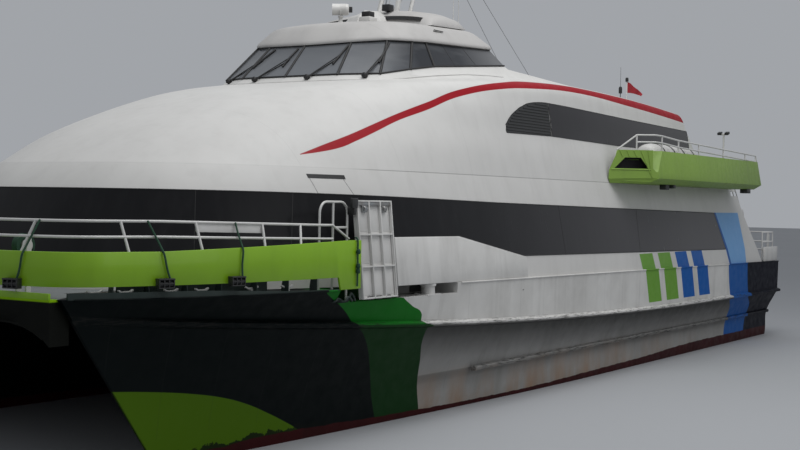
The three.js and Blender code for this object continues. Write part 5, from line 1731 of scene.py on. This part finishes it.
class FERRY_OT_bow_bulwark(bpy.types.Operator):
    """Builds the lime band round the foredeck with its posts and stiffeners"""

    bl_idname = "ferry.bow_bulwark"
    bl_label = "Bow bulwark"

    def execute(self, context):
        rings = []
        for s in spread(0.0, BAND_LAST, 150):
            x, _ = band_plan(s)
            low = 3.01 if x < 11.25 else 3.25
            top = band_top(x)
            outer, inner = BAND_HALF, -BAND_HALF
            column = [(inner, low), (outer - 0.004, low), (outer, low + 0.006), (outer, top - 0.014),
                      (outer - 0.006, top - 0.004),
                      (0.0, top), (inner + 0.006, top - 0.004), (inner, top - 0.014)]
            rings.append([(*band_beside(s, out), z) for out, z in column])
        shape = loft(rings + [flipped(one) for one in reversed(rings[:-1])])
        put("bow_band", [shape], bulwark_paint(), "ship", "lime_paint", ["bow_bulwark"], sharp=40)
        posts = []
        for x in (11.9, 12.7, 13.5, 14.3, 15.0, 15.7, 16.3):
            s = share_at(x)
            a, b = Vector((*band_beside(s, -0.022), 0)), Vector((*band_beside(s, -0.20), 0))
            floor = deck_z(x) + 0.001
            side = (b - a).cross(Vector((0, 0, 1))).normalized() * 0.008
            plate = [a + Vector((0, 0, 3.78)), a + Vector((0, 0, floor)), b + Vector((0, 0, floor)),
                     b + Vector((0, 0, floor + 0.08)),
                     a + (b - a) * 0.3 + Vector((0, 0, 3.78))]
            posts.append(loft([[tuple(p - side) for p in plate], [tuple(p + side) for p in plate]]))
        # The brackets are near-black green, as painted shade behind the band.
        put_both("band_brackets", posts, dark_green_and_shade_paint(), slot="black_paint")
        self.deck_rim()
        line = [(*band_beside(s, -0.035), 3.36) for s in spread(share_at(11.3), BAND_LAST - 0.05, 60)]
        bars_both("band_stringer", [line], 0.018, bulwark_paint(), slot="lime_paint", sides=8)
        return {"FINISHED"}

    def deck_rim(self):
        """A dark coaming that rises toward the bow, a dark sheet behind it that stands for painted shade over
        the deck, and the lip of the fascia.
        """
        rim, board = [], []
        for x in spread(11.25, 17.0, 70):
            rise = max(0.0, min(1.0, (x - 11.9) / 3.2))
            rise = 0.02 + 0.085 * rise * rise * (3.0 - 2.0 * rise)
            y, z = deck_edge(x), deck_z(x)
            rim.append([(x, y - 0.035, z - 0.01), (x, y - 0.002, z - 0.01), (x, y - 0.006, z + rise),
                        (x, y - 0.03, z + rise)])
        # A dark sheet behind the band, standing for painted shade over the deck.
        for x in spread(12.95, 16.05, 40):
            y, z = band_beside(share_at(x), -0.30)[1], deck_z(x)
            board.append([(x, y - 0.02, z), (x, y, z), (x, y, z + 0.34), (x, y - 0.02, z + 0.34)])
        put_both("deck_coaming", [loft(rim)], dark_green_and_shade_paint(), slot="black_paint", sharp=40)
        put_both("splash_board", [loft(board)], dark_green_and_shade_paint(), slot="black_paint", sharp=40)
        z = deck_z(17.2)
        lip = [[(17.20, y, z - 0.02), (17.245, y, z - 0.02), (17.245, y, z + 0.10), (17.20, y, z + 0.10)]
               for y in spread(-3.62, 3.62, 40)]
        put("fascia_lip", [loft(lip)], bulwark_paint(), slot="lime_paint", bevel=0.004)
        cleats = []
        for x in (12.6, 13.5, 14.6, 15.2, 16.0, 16.5):
            y, z = deck_edge(x) - 0.16, deck_z(x)
            cleats.append(block(x - 0.05, x + 0.05, y - 0.03, y + 0.03, z - 0.002, z + 0.09))
            cleats.append(swept([(-0.022, -0.016), (0.022, -0.016), (0.022, 0.016), (-0.022, 0.016)],
                                [(x - 0.17, y, z + 0.13), (x - 0.1, y, z + 0.10), (x + 0.1, y, z + 0.10),
                                 (x + 0.17, y, z + 0.13)]))
        put_both("deck_edge_cleats", cleats, fitting_paint(), slot="white_paint", bevel=0.006)


class FERRY_OT_rails(bpy.types.Operator):
    """Runs the white guard rails of every deck"""

    bl_idname = "ferry.rails"
    bl_label = "Rails"

    def execute(self, context):
        radius = sizes().rail_radius
        self.bow(radius)
        self.gates(radius)
        self.platforms(radius)
        self.stern(radius)
        return {"FINISHED"}

    def bow(self, radius):
        run = spread(share_at(11.3), BAND_LAST, 70)
        top = [(*band_beside(s, RAIL_BESIDE), rail_top(band_plan(s)[0])) for s in run]
        middle = [(*band_beside(s, -0.14), rail_top(band_plan(s)[0]) - 0.26) for s in run]
        top = [(10.72, 4.86, 3.98), (11.14, 4.76, rail_top(11.0))] + top
        lines = [line + flipped(reversed(line[:-1])) for line in (top, middle)]
        posts = [(share_at(a), share_at(b))
                 for a, b in ((12.36, 12.17), (13.29, 13.20), (14.68, 14.72), (16.02, 16.11), (17.20, 17.17))]
        for low, high in posts + [(BAND_LAST - 0.75, BAND_LAST - 0.78), (BAND_LAST - 0.25, BAND_LAST - 0.25)]:
            a, b = band_beside(low, -0.035), band_beside(high, RAIL_BESIDE)
            post = [(*a, band_top(a[0]) - 0.09), (*b, rail_top(b[0]))]
            lines += [post, flipped(post)]
        bars("bow_rails", lines, radius, rail_paint(), "ship", "white_paint", ["bow_rail"], sides=14)
        plate = []
        for s in spread(share_at(13.22), share_at(14.70), 24):
            a, b, top = band_beside(s, -0.235), band_beside(s, -0.213), rail_top(band_plan(s)[0])
            plate.append([(*a, top - 0.02), (*b, top - 0.17), (b[0], b[1] - 0.03, top - 0.17),
                          (a[0], a[1] - 0.03, top - 0.02)])
        put_both("rail_locker", [loft(plate)], fitting_paint(), slot="white_paint", bevel=0.006)

    def gates(self, radius):
        x0, middle, x1, y, top, floor = 10.56, 11.04, 11.48, 4.70, 4.70, RECESS["floor"]
        hoop = [(x1, y, deck_z(x1)), (x1, y, top), (x0, y, top), (x0, y, floor)]
        lines = [hoop, [(middle, y, floor), (middle, y, top)], [(x0, y, 3.70), (middle, y, 3.70)],
                 [(x0, y, 4.2), (middle, y, 4.2)]]
        bars_both("gate_rails", lines, radius, rail_paint(), slot="white_paint", replaces=["gate_frame_*"],
                  sides=14, bend=0.22)

    def platforms(self, radius):
        y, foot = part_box("platform_rail_port")[1].y - radius, 6.33
        tops = [(-2.86, 4.62, foot), (-3.22, 5.06, 6.755), (-3.62, y, 6.765), (-4.12, y, 6.765),
                (-5.45, y, 6.70), (-7.2, y, 6.66),
                (-9.5, y, 6.61), (-11.7, y, 6.56), (-12.85, y, 6.535), (-12.95, y, foot)]
        lines = [tops, [(a, b, c - 0.20) for a, b, c in tops[1:-1]]]
        lines += [[(a, b, foot), (a, b, c)] for a, b, c in tops[1:2] + tops[3:-1]]
        bars_both("platform_rails", lines, radius, rail_paint(), slot="white_paint",
                  replaces=["platform_rail_*"], sides=14, bend=0.09)

    def stern(self, radius):
        aft, side, top = -17.08, 4.88, 3.85
        corner = [(-15.7, side), (-16.95, side), (aft, 4.70)]
        path = corner + [(x, -y) for x, y in reversed(corner)]
        lines = [[(x, y, z) for x, y in path] for z in (top, 3.5, 3.2)]
        for x, y in corner + [(-16.3, side), (aft, 2.35), (aft, 3.5), (aft, 1.2)]:
            post = [(x, y, deck_z(x)), (x, y, top)]
            lines += [post, flipped(post)]
        lines.append([(aft, 0.0, deck_z(aft)), (aft, 0.0, top)])
        bars("aft_rails", lines, radius, rail_paint(), "ship", "white_paint", ["aft_rail"], sides=14,
             bend=0.06)
        aft, side, height = -13.7, 4.33, 1.08
        path = [(-13.3, side), (aft, side), (aft, -side), (-13.3, -side)]
        lines = [[(x, y, UPPER_DECK_Z + h) for x, y in path] for h in (height, 0.72, 0.36)]
        for x, y in path + [(aft, a) for a in (-3.15, -2.0, -0.7, 0.7, 2.0, 3.15)]:
            lines.append([(x, y, UPPER_DECK_Z), (x, y, UPPER_DECK_Z + height)])
        bars("upper_rails", lines, radius, rail_paint(), "ship", "white_paint", ["upper_rail"], sides=14,
             bend=0.08)


class FERRY_OT_ramps(bpy.types.Operator):
    """Builds the two folding boarding ramps with their ribs, rollers and bump bars"""

    bl_idname = "ferry.ramps"
    bl_label = "Boarding ramps"

    def execute(self, context):
        back, front, tall, thick, rib = 9.2, 10.45, 1.985, 0.12, 0.034
        parts = [block(back + 0.004, front - 0.004, -thick, -thick + 0.055, 0.02, tall - 0.002)]
        for s in (0.0, 1 / 3, 2 / 3, 1.0):
            x = back + s * (front - back - rib)
            parts.append(block(x, x + rib, -thick + 0.05, 0.0, 0.015, tall))
        for z in (0.015, 0.64, 1.28, tall - rib):
            parts.append(block(back + 0.01, front - 0.01, -thick + 0.05, -0.004, z, z + rib))
        for k in range(3):
            for row in range(3):
                x = back + 0.06 + k * (front - back - rib) / 3
                parts.append(block(x, x + 0.30, -thick + 0.052, -thick + 0.060, 0.09 + row * 0.635,
                                   0.59 + row * 0.635))
        lean = Matrix.Translation((0.0, 5.06, 2.77)) @ Matrix.Rotation(math.radians(6.0), 4, "X")
        put_both("ramp_frame", [moved(p, lean) for p in parts], fitting_paint(), body="ramp_*",
                 slot="white_paint",
                 replaces=["boarding_ramp_*"], bevel=0.004)
        fittings = []
        for s in (0.22, 0.78):
            x = back + s * (front - back)
            fittings.append(turned([(0.0, -0.05), (0.045, -0.05), (0.055, -0.04), (0.055, 0.04),
                                    (0.045, 0.05), (0.0, 0.05)],
                                   (x, -0.02, tall - 0.17), (1, 0, 0), 24))
            fittings.append(block(x - 0.08, x + 0.08, -0.055, -0.015, tall - 0.24, tall - 0.10))
        fittings.append(block(back + 0.02, front - 0.02, -thick + 0.045, -0.012, tall - 0.105, tall - 0.04))
        put_both("ramp_fittings", [moved(p, lean) for p in fittings], bright_steel(), body="ramp_*",
                 slot="steel", bevel=0.004)
        rollers = [turned([(0.0, -0.09), (0.032, -0.09), (0.038, -0.08), (0.038, 0.08), (0.032, 0.09),
                           (0.0, 0.09)],
                          (x, -0.055, 0.03), (1, 0, 0), 20) for x in (back + 0.30, back + 0.62, back + 0.94)]
        put_both("ramp_rollers", [moved(p, lean) for p in rollers], gasket(), body="ramp_*",
                 slot="black_paint")
        edge = [[(back + 0.03, -0.045, 0.05), (back + 0.03, -0.045, tall - 0.02)],
                [(front - 0.03, -0.045, 0.05), (front - 0.03, -0.045, tall - 0.02)]]
        lines = [[tuple(lean @ Vector(p)) for p in line] for line in edge]
        bars_both("ramp_edge_bars", lines, 0.014, fitting_paint(), body="ramp_*", slot="white_paint",
                  sides=10)
        hoses = []
        for k, (x, lift) in enumerate(((10.95, 0.10), (10.78, 0.16), (11.15, 0.07))):
            y, floor = 5.02 - 0.05 * k, (RECESS["floor"] if x < RECESS["front"] else deck_z(x)) + 0.02
            hoses.append(smooth_line([(x + 0.16, y - 0.2, floor), (x + 0.10, y, floor + 0.02),
                                      (x, y + 0.01, floor + lift),
                                      (x - 0.14, y, floor + 0.03), (x - 0.30, y - 0.12, floor)], 24))
        bars_both("deck_hoses", hoses, 0.022, dark_green_and_shade_paint(), slot="black_paint", sides=10)
        bracket = [block(10.47, 10.66, 4.84, 4.90, 4.58, 4.78), block(10.47, 10.53, 4.74, 4.86, 4.50, 4.62),
                   block(10.53, 10.60, 4.73, 4.90, 4.45, 4.60)]
        put_both("ramp_brackets", bracket, black_paint(), slot="black_paint", bevel=0.01)
        for side in SIDES:
            dressed(f"side_bulwark_{side}", fitting_paint(), bevel=0.015,
                    name=f"side_bulwark_{side}_plate")
        return {"FINISHED"}


# ---- Side platforms, stern and deck gear ----


# the foot of a platform's raked front, inboard and outboard, and the direction that the front faces
FRONT_INNER, FRONT_OUTER = Vector((-2.71, 4.45, 0.0)), Vector((-3.50, 5.45, 0.0))
FRONT_AHEAD = Vector((FRONT_OUTER.y - FRONT_INNER.y, FRONT_INNER.x - FRONT_OUTER.x, 0.0)).normalized()


def on_front(share, z, proud):
    """A point beside the raked front, by its share of the way outboard."""
    return tuple(FRONT_INNER.lerp(FRONT_OUTER, share) + FRONT_AHEAD * proud + Vector((0.0, 0.0, z)))


class FERRY_OT_platforms(bpy.types.Operator):
    """Dresses the green side platforms and sets the raft canisters on them"""

    bl_idname = "ferry.platforms"
    bl_label = "Side platforms"

    def execute(self, context):
        corner = [(-0.4, 5.74), (0.0, 5.74), (0.21, 6.335), (0.21, 6.6), (-0.4, 6.6)]
        before = [(-0.6, 5.2), (1.6, 5.2), (1.6, 6.6), (-0.6, 6.6)]
        cutters = [loft([[on_front(a, z, d) for a, z in outline] for d in reach])
                   for outline, reach in ((corner, (0.3, -0.42)), (before, (0.6, -0.004)))]
        for side, sign in SIDES.items():
            tray = self.cad_shape(f"side_platform_{side}")
            shape = carved([tray], cutters if sign > 0 else [mirrored(c) for c in cutters])
            put(f"side_platform_{side}_shell", [shape], platform_paint(), "ship", "green_paint",
                [f"side_platform_{side}"],
                bevel=0.012, sharp=28)
        self.front()
        profile = [(0.0, -1.80), (0.20, -1.797), (0.30, -1.77), (0.37, -1.70), (0.40, -1.62), (0.42, -1.45),
                   (0.428, -1.36)]
        for k in range(-4, 5):
            a = k * 0.3
            profile += [(0.424, a - 0.03), (0.43, a - 0.02), (0.43, a + 0.02), (0.424, a + 0.03)]
        profile += [(r, -d) for r, d in reversed(profile[:7])]
        profile = sorted(set(profile), key=lambda p: (p[1], p[0] if p[1] < 0 else -p[0]))
        axis, cradles = (-5.9, 4.96, 6.15), (-7.1, -6.3, -5.5, -4.7)
        body = turned(profile, axis, (1, 0, 0), 40)
        seat = []
        for x in cradles:
            for y0, y1, top in ((4.62, 5.30, 5.80), (4.56, 4.66, 6.07), (5.26, 5.36, 6.07)):
                seat.append(block(x - 0.05, x + 0.05, y0, y1, 5.562, top))
        put_both("raft_canister_body", [body], fitting_paint(), slot="white_paint",
                 replaces=["raft_canister_*"], sharp=40)
        put_both("raft_cradle", seat, bright_steel(), slot="steel", bevel=0.006)
        strap = [(0.430, -0.03), (0.437, -0.03), (0.437, 0.03), (0.430, 0.03)]
        straps = [turned(strap, (x, *axis[1:]), (1, 0, 0), 40, closed=True) for x in cradles]
        put_both("raft_straps", straps, black_paint(), slot="black_paint")
        under = [block(-5.35, -5.05, 5.05, 5.25, 5.23, 5.40), block(-5.75, -5.55, 5.0, 5.3, 5.28, 5.40),
                 block(-12.75, -12.35, 5.1, 5.35, 5.24, 5.40)]
        put_both("platform_feet", under, black_paint(), slot="black_paint", bevel=0.015)
        return {"FINISHED"}

    def cad_shape(self, node):
        """A CAD node's own shape as points and faces."""
        bm = cad_bmesh(node)
        shape = ([tuple(v.co) for v in bm.verts], [tuple(v.index for v in f.verts) for f in bm.faces])
        bm.free()
        return shape

    def front(self):
        """The raked plate that closes a platform forward, with its dark mouth, whose near-black walls and
        back stand for painted shade in the opening, and slanting ridges.
        """
        edge = [(-0.01, 5.50), (1.10, 5.53), (1.09, 5.70), (1.0, 5.80), (1.0, 6.325), (0.20, 6.325),
                (0.0, 5.74)]
        mouth = [(0.12, 5.80), (0.90, 5.80), (0.72, 6.11), (0.36, 6.11)]
        rings = []
        for outside, k in zip(edge, (0, 1, 1, 1, 2, 3, 0)):
            rings.append([on_front(*outside, -0.012), on_front(*outside, 0.012),
                          on_front(*mouth[k], 0.012), on_front(*mouth[k], -0.012)])
        plate = loft(rings + rings[:1], "none")
        low_in, low_out = Vector((-2.80, 4.44, 5.384)), Vector((-3.474, 5.335, 5.384))
        chine = Vector((-3.60, 5.595, 5.53))
        foot_in, foot_out = Vector(on_front(-0.01, 5.51, 0.0)), Vector(on_front(1.0, 5.51, 0.0))
        flaps = []
        for shape in ([foot_in, foot_out, low_out, low_in], [foot_out, chine, low_out]):
            shifts = [FRONT_AHEAD * d + Vector((0.0, 0.0, -d * 0.5)) for d in (0.012, -0.012)]
            flaps.append(loft([[tuple(corner + shift) for corner in shape] for shift in shifts]))
        put_both("platform_front", [plate] + flaps, platform_paint(), slot="green_paint", sharp=20)
        # The mouth's walls and back are near black, as painted shade inside the opening.
        walls = [[on_front(c, d, 0.008) for c, d in mouth], [on_front(c, d, -0.02) for c, d in mouth],
                 [on_front(0.5 + (c - 0.5) * 1.02, d, -0.34) for c, d in mouth]]
        points, faces = loft(walls, "none")
        faces.append((8, 9, 10, 11))
        put_both("platform_mouth", [(points, faces)], gasket(), slot="black_paint", sharp=20)
        ridges = []
        for k in range(5):
            a = 0.24 + 0.16 * k
            foot = 6.14 if a < 0.62 else 5.56
            fall = 6.31 - foot
            ridges.append([on_front(a, 6.31, 0.012),
                           on_front(min(0.985, a + 0.26 * fall / 0.75), foot, 0.012)])
        bars_both("platform_ridges", ridges, 0.02, platform_paint(), slot="green_paint", sides=6)
        lip = [[on_front(0.05, 5.77, 0.014), on_front(0.95, 5.77, 0.014)]]
        bars_both("platform_lip", lip, 0.018, platform_paint(), slot="green_paint", sides=8)


class FERRY_OT_stern(bpy.types.Operator):
    """Builds the stairs, doors, lamps and waterjets at the stern"""

    bl_idname = "ferry.stern"
    bl_label = "Stern"

    def execute(self, context):
        for side in SIDES:
            dressed(f"stair_{side}", fitting_paint(), bevel=0.004)
            dressed(f"jet_nozzle_{side}", bright_steel(), body=f"nozzle_{side}", bevel=0.006)
            dressed(f"jet_bucket_{side}", bright_steel(), body=f"bucket_{side}", bevel=0.006)
            dressed(f"jet_flange_{side}", bright_steel(), bevel=0.006)
            dressed(f"main_door_{side}", fitting_paint(), body=f"main_door_leaf_{side}",
                    bevel=0.006)
            self.window_in_leaf(f"main_door_{side}", f"main_door_leaf_{side}", f"main_door_glass_{side}")
        rails = []
        for y in (3.32, 4.13):
            rails.append([(-13.92, y, UPPER_DECK_Z), (-13.92, y, 6.28), (-16.2, y, 3.92), (-16.2, y, 2.80)])
            rails.append([(-14.1, y, 5.75), (-16.2, y, 3.45)])
        bars_both("stair_rails", rails, 0.020, rail_paint(), slot="white_paint", sides=10, bend=0.12)
        skew, panels = 0.24, []
        for top_x, top_z, foot_z in ((-14.8, 4.45, 3.93), (-15.25, 3.92, 3.39), (-15.7, 3.38, 2.82)):
            x0, x1 = top_x - 0.52, top_x - 0.05
            corners = [(x0, top_z), (x1, top_z), (x1 - skew, foot_z), (x0 - skew, foot_z)]
            panels.append(loft([[(x, y, z) for x, z in corners] for y in (4.24, 4.30)]))
        cap = turned([(0.0, 0.0), (0.25, 0.0), (0.25, 0.06), (0.0, 0.06)], (-15.085, 4.24, 4.45), (0, 1, 0),
                     32)
        put_both("stair_side_panels", panels + [cap], fitting_paint(), slot="white_paint", bevel=0.008)
        self.treads()
        dressed("upper_door", fitting_paint(), body="upper_door_leaf", bevel=0.006)
        self.window_in_leaf("upper_door", "upper_door_leaf", "upper_door_glass")
        dressed("flag_staff", rail_paint(), bevel=0.002)
        lamp = [(0.0, 0.0), (0.045, 0.0), (0.05, 0.02), (0.05, 0.10), (0.035, 0.13), (0.0, 0.135)]
        put("staff_lamp", [turned(lamp, (*FLAG_STAFF, 8.70), (0, 0, 1), 18)], gasket(), "ship", "black_paint")
        x, y = -6.79, 3.0
        foot = (x, y, top_of("upper_house", x, y))
        whip = turned([(0.0, 0.0), (0.012, 0.0), (0.012, 0.3), (0.006, 0.32), (0.004, 1.05), (0.0, 1.05)],
                      foot, (0, 0, 1), 10)
        beacon = turned([(0.0, 0.22), (0.05, 0.22), (0.055, 0.25), (0.055, 0.38), (0.04, 0.43), (0.0, 0.44)],
                        foot, (0, 0, 1), 18)
        put("roof_beacon", [whip, beacon], gasket(), "ship", "black_paint")
        self.lamp_post()
        plates = [block(-17.22, -17.19, y - 0.05, y + 0.05, z - 0.12, z + 0.12) for y in (2.9, 4.5)
                  for z in (-0.3, 0.7)]
        put_both("transom_anodes", plates, bright_steel(), slot="steel", bevel=0.008)
        return {"FINISHED"}

    def treads(self):
        ribs = [block(0.01 + k * 0.03, 0.02 + k * 0.03, -0.38, 0.38, 0.003, 0.008) for k in range(7)]
        tread = [block(0.0, 0.22, -0.40, 0.40, 0.0, 0.004)] + ribs
        top, foot, steps, y = -13.9, -16.4, 9, 3.725
        low, high = deck_z(foot + 0.22), 5.376
        shares = [(i + 0.75) / (steps + 0.6) for i in (0, steps - 1)]
        line = [(foot + share * (top - foot) - 0.025, y, low + share * (high - low) - 0.019)
                for share in shares]
        for side, sign in SIDES.items():
            row_of(f"stair_treads_{side}", tread, [line if sign > 0 else flipped(line)], steps, deck_paint(),
                   "ship")

    def window_in_leaf(self, node, body, name):
        low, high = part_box(node)
        y0, y1 = (low.y + share * (high.y - low.y) for share in (0.20, 0.78))
        z0, z1, grip_z = (low.z + share * (high.z - low.z) for share in (0.50, 0.86, 0.42))
        face = low.x + 0.0182
        pane = block(face - 0.006, face + 0.01, y0, y1, z0, z1)
        put(name, [pane], cabin_glass(), body, "window_glass", bevel=0.004)
        frame_line = [(face - 0.004, y, z) for y, z in ((y0, z0), (y1, z0), (y1, z1), (y0, z1), (y0, z0))]
        bars(name + "_frame", [frame_line], 0.012, gasket(), body, "black_paint", sides=8)
        grip_y = y0 if abs(y0) < abs(y1) else y1
        grip = [(face + out, grip_y, grip_z + up)
                for out, up in ((0.004, 0.0), (-0.05, 0.0), (-0.05, 0.16), (0.004, 0.16))]
        bars(name + "_handle", [grip], 0.009, bright_steel(), body, "steel", sides=8, bend=0.02)

    def lamp_post(self):
        x, y, foot, top = -13.2, 4.2, UPPER_DECK_Z, 7.34
        lines = [[(x, y, foot), (x, y, top)], [(x, y - 0.14, top - 0.02), (x, y + 0.14, top - 0.02)]]
        bars("lamp_post_tube", lines, 0.032, rail_paint(), "ship", "white_paint", ["lamp_post"], sides=14)
        shape, lean = block(-0.09, 0.09, -0.07, 0.07, -0.04, 0.045), Matrix.Rotation(0.3, 4, "Y")
        heads = [moved(shape, Matrix.Translation((x + 0.03, a, top + 0.01)) @ lean)
                 for a in (y - 0.13, y + 0.13)]
        put("lamp_post_lamps", heads, black_paint(), "ship", "black_paint", bevel=0.012)


class FERRY_OT_fenders(bpy.types.Operator):
    """Builds the three black tray fenders outside the bow band"""

    bl_idname = "ferry.fenders"
    bl_label = "Fenders"

    def execute(self, context):
        for number, x in enumerate(FENDER_AT, 1):
            s = share_at(x)
            a, b = Vector((*band_beside(s - 0.03, 0.0), 0.0)), Vector((*band_beside(s + 0.03, 0.0), 0.0))
            along = (b - a).normalized()
            out = Vector((0, 0, 1)).cross(along)
            out = out if out.y > 0 else -out
            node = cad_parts[f"fender_{number}"].data
            middle = sum((v.co for v in node.vertices), Vector()) / len(node.vertices)
            turn = Matrix((along, out, Vector((0, 0, 1)))).transposed().to_4x4()
            place = Matrix.Translation(middle) @ turn
            parts = [block(-0.155, 0.155, -0.064, 0.068, 0.058, 0.085),
                     block(-0.15, 0.15, -0.064, 0.064, -0.085, -0.065),
                     block(-0.15, 0.15, -0.064, -0.045, -0.07, 0.06)]
            for k in (-0.138, -0.046, 0.046, 0.138):
                parts.append(block(k - 0.011, k + 0.011, -0.05, 0.063, -0.07, 0.06))
            parts.append(block(-0.15, 0.15, 0.050, 0.062, -0.012, 0.008))
            put(f"fender_tray_{number}", [moved(part, place) for part in parts], black_paint(), "ship",
                "fender_rubber",
                [f"fender_{number}"], bevel=0.006)
            roller = turned([(0.0, -0.145), (0.045, -0.145), (0.052, -0.135), (0.052, 0.135), (0.045, 0.145),
                             (0.0, 0.145)],
                            (0.0, 0.0, -0.01), (1, 0, 0), 24)
            put(f"fender_roller_{number}", [moved(roller, place)], rubber(), "ship", "fender_rubber")
        return {"FINISHED"}


# half the floor's width, the sky's strength, and each soft light's name, place, aim, power and width
FLOOR_REACH, SKY_STRENGTH = 300.0, 0.53
LIGHTS = (("overhead", (6.0, 10.0, 30.0), (0.0, 0.0, 0.0), 6400.0, 26.0),
          ("from_port", (6.0, 40.0, 16.0), (-2.0, 0.0, 4.0), 900.0, 20.0))


class FERRY_OT_stage(bpy.types.Operator):
    """Lays the pale floor at the waterline and hangs soft studio lights"""

    bl_idname = "ferry.stage"
    bl_label = "Stage"

    def execute(self, context):
        mesh = bpy.data.meshes.new("stage_floor")
        corners = [(x * FLOOR_REACH, y * FLOOR_REACH, 0) for x, y in ((-1, -1), (1, -1), (1, 1), (-1, 1))]
        mesh.from_pydata(corners, [], [(0, 1, 2, 3)])
        floor = bpy.data.objects.new("stage_floor", mesh)
        context.scene.collection.objects.link(floor)
        s = Shader("stage_floor_paint")
        mesh.materials.append(s.done(s.mix(s.noise(0.05), tone(158, 160, 163), tone(165, 167, 170)), 0.8))
        world = bpy.data.worlds.new("stage_sky")
        world.use_nodes = True
        sky = world.node_tree.nodes["Background"].inputs
        sky["Color"].default_value, sky["Strength"].default_value = tone(214, 218, 224), SKY_STRENGTH
        context.scene.world = world
        for name, place, aim, power, width in LIGHTS:
            data = bpy.data.lights.new(name, "AREA")
            data.energy, data.size, data.shape = power, width, "SQUARE"
            lamp = bpy.data.objects.new(name, data)
            context.scene.collection.objects.link(lamp)
            away = Vector(place) - Vector(aim)
            lamp.matrix_world = Matrix.Translation(place) @ away.to_track_quat("Z", "Y").to_matrix().to_4x4()
        return {"FINISHED"}


class FERRY_PT_panel(bpy.types.Panel):
    """Lists every step of building the ferry's looks"""

    bl_idname = "FERRY_PT_panel"
    bl_label = "Catamaran Ferry"
    bl_space_type = "VIEW_3D"
    bl_region_type = "UI"
    bl_category = "Ferry"

    def draw(self, context):
        layout = self.layout
        for group, title in ((context.scene.ferry_sizes, "Sizes"), (context.scene.ferry_colours, "Colours")):
            box = layout.box()
            box.label(text=title)
            for name in type(group).__annotations__:
                box.prop(group, name)
        for step in STEPS:
            layout.operator(step.bl_idname, text=step.bl_label)


STEPS = (FERRY_OT_camera, FERRY_OT_ropes, FERRY_OT_flag, FERRY_OT_hulls, FERRY_OT_decks,
         FERRY_OT_main_house, FERRY_OT_windows, FERRY_OT_upper_house, FERRY_OT_wheelhouse, FERRY_OT_mast,
         FERRY_OT_bow_bulwark, FERRY_OT_rails, FERRY_OT_ramps, FERRY_OT_platforms, FERRY_OT_stern,
         FERRY_OT_fenders, FERRY_OT_stage)
CLASSES = (FerrySizes, FerryColours, *STEPS, FERRY_PT_panel)


def register():
    for one in CLASSES:
        bpy.utils.register_class(one)
    bpy.types.Scene.ferry_sizes = bpy.props.PointerProperty(type=FerrySizes)
    bpy.types.Scene.ferry_colours = bpy.props.PointerProperty(type=FerryColours)


def unregister():
    del bpy.types.Scene.ferry_colours
    del bpy.types.Scene.ferry_sizes
    for one in reversed(CLASSES):
        bpy.utils.unregister_class(one)


def main():
    register()
    for step in STEPS:
        area, name = step.bl_idname.split(".")
        getattr(getattr(bpy.ops, area), name)()


if __name__ == "__main__":
    main()
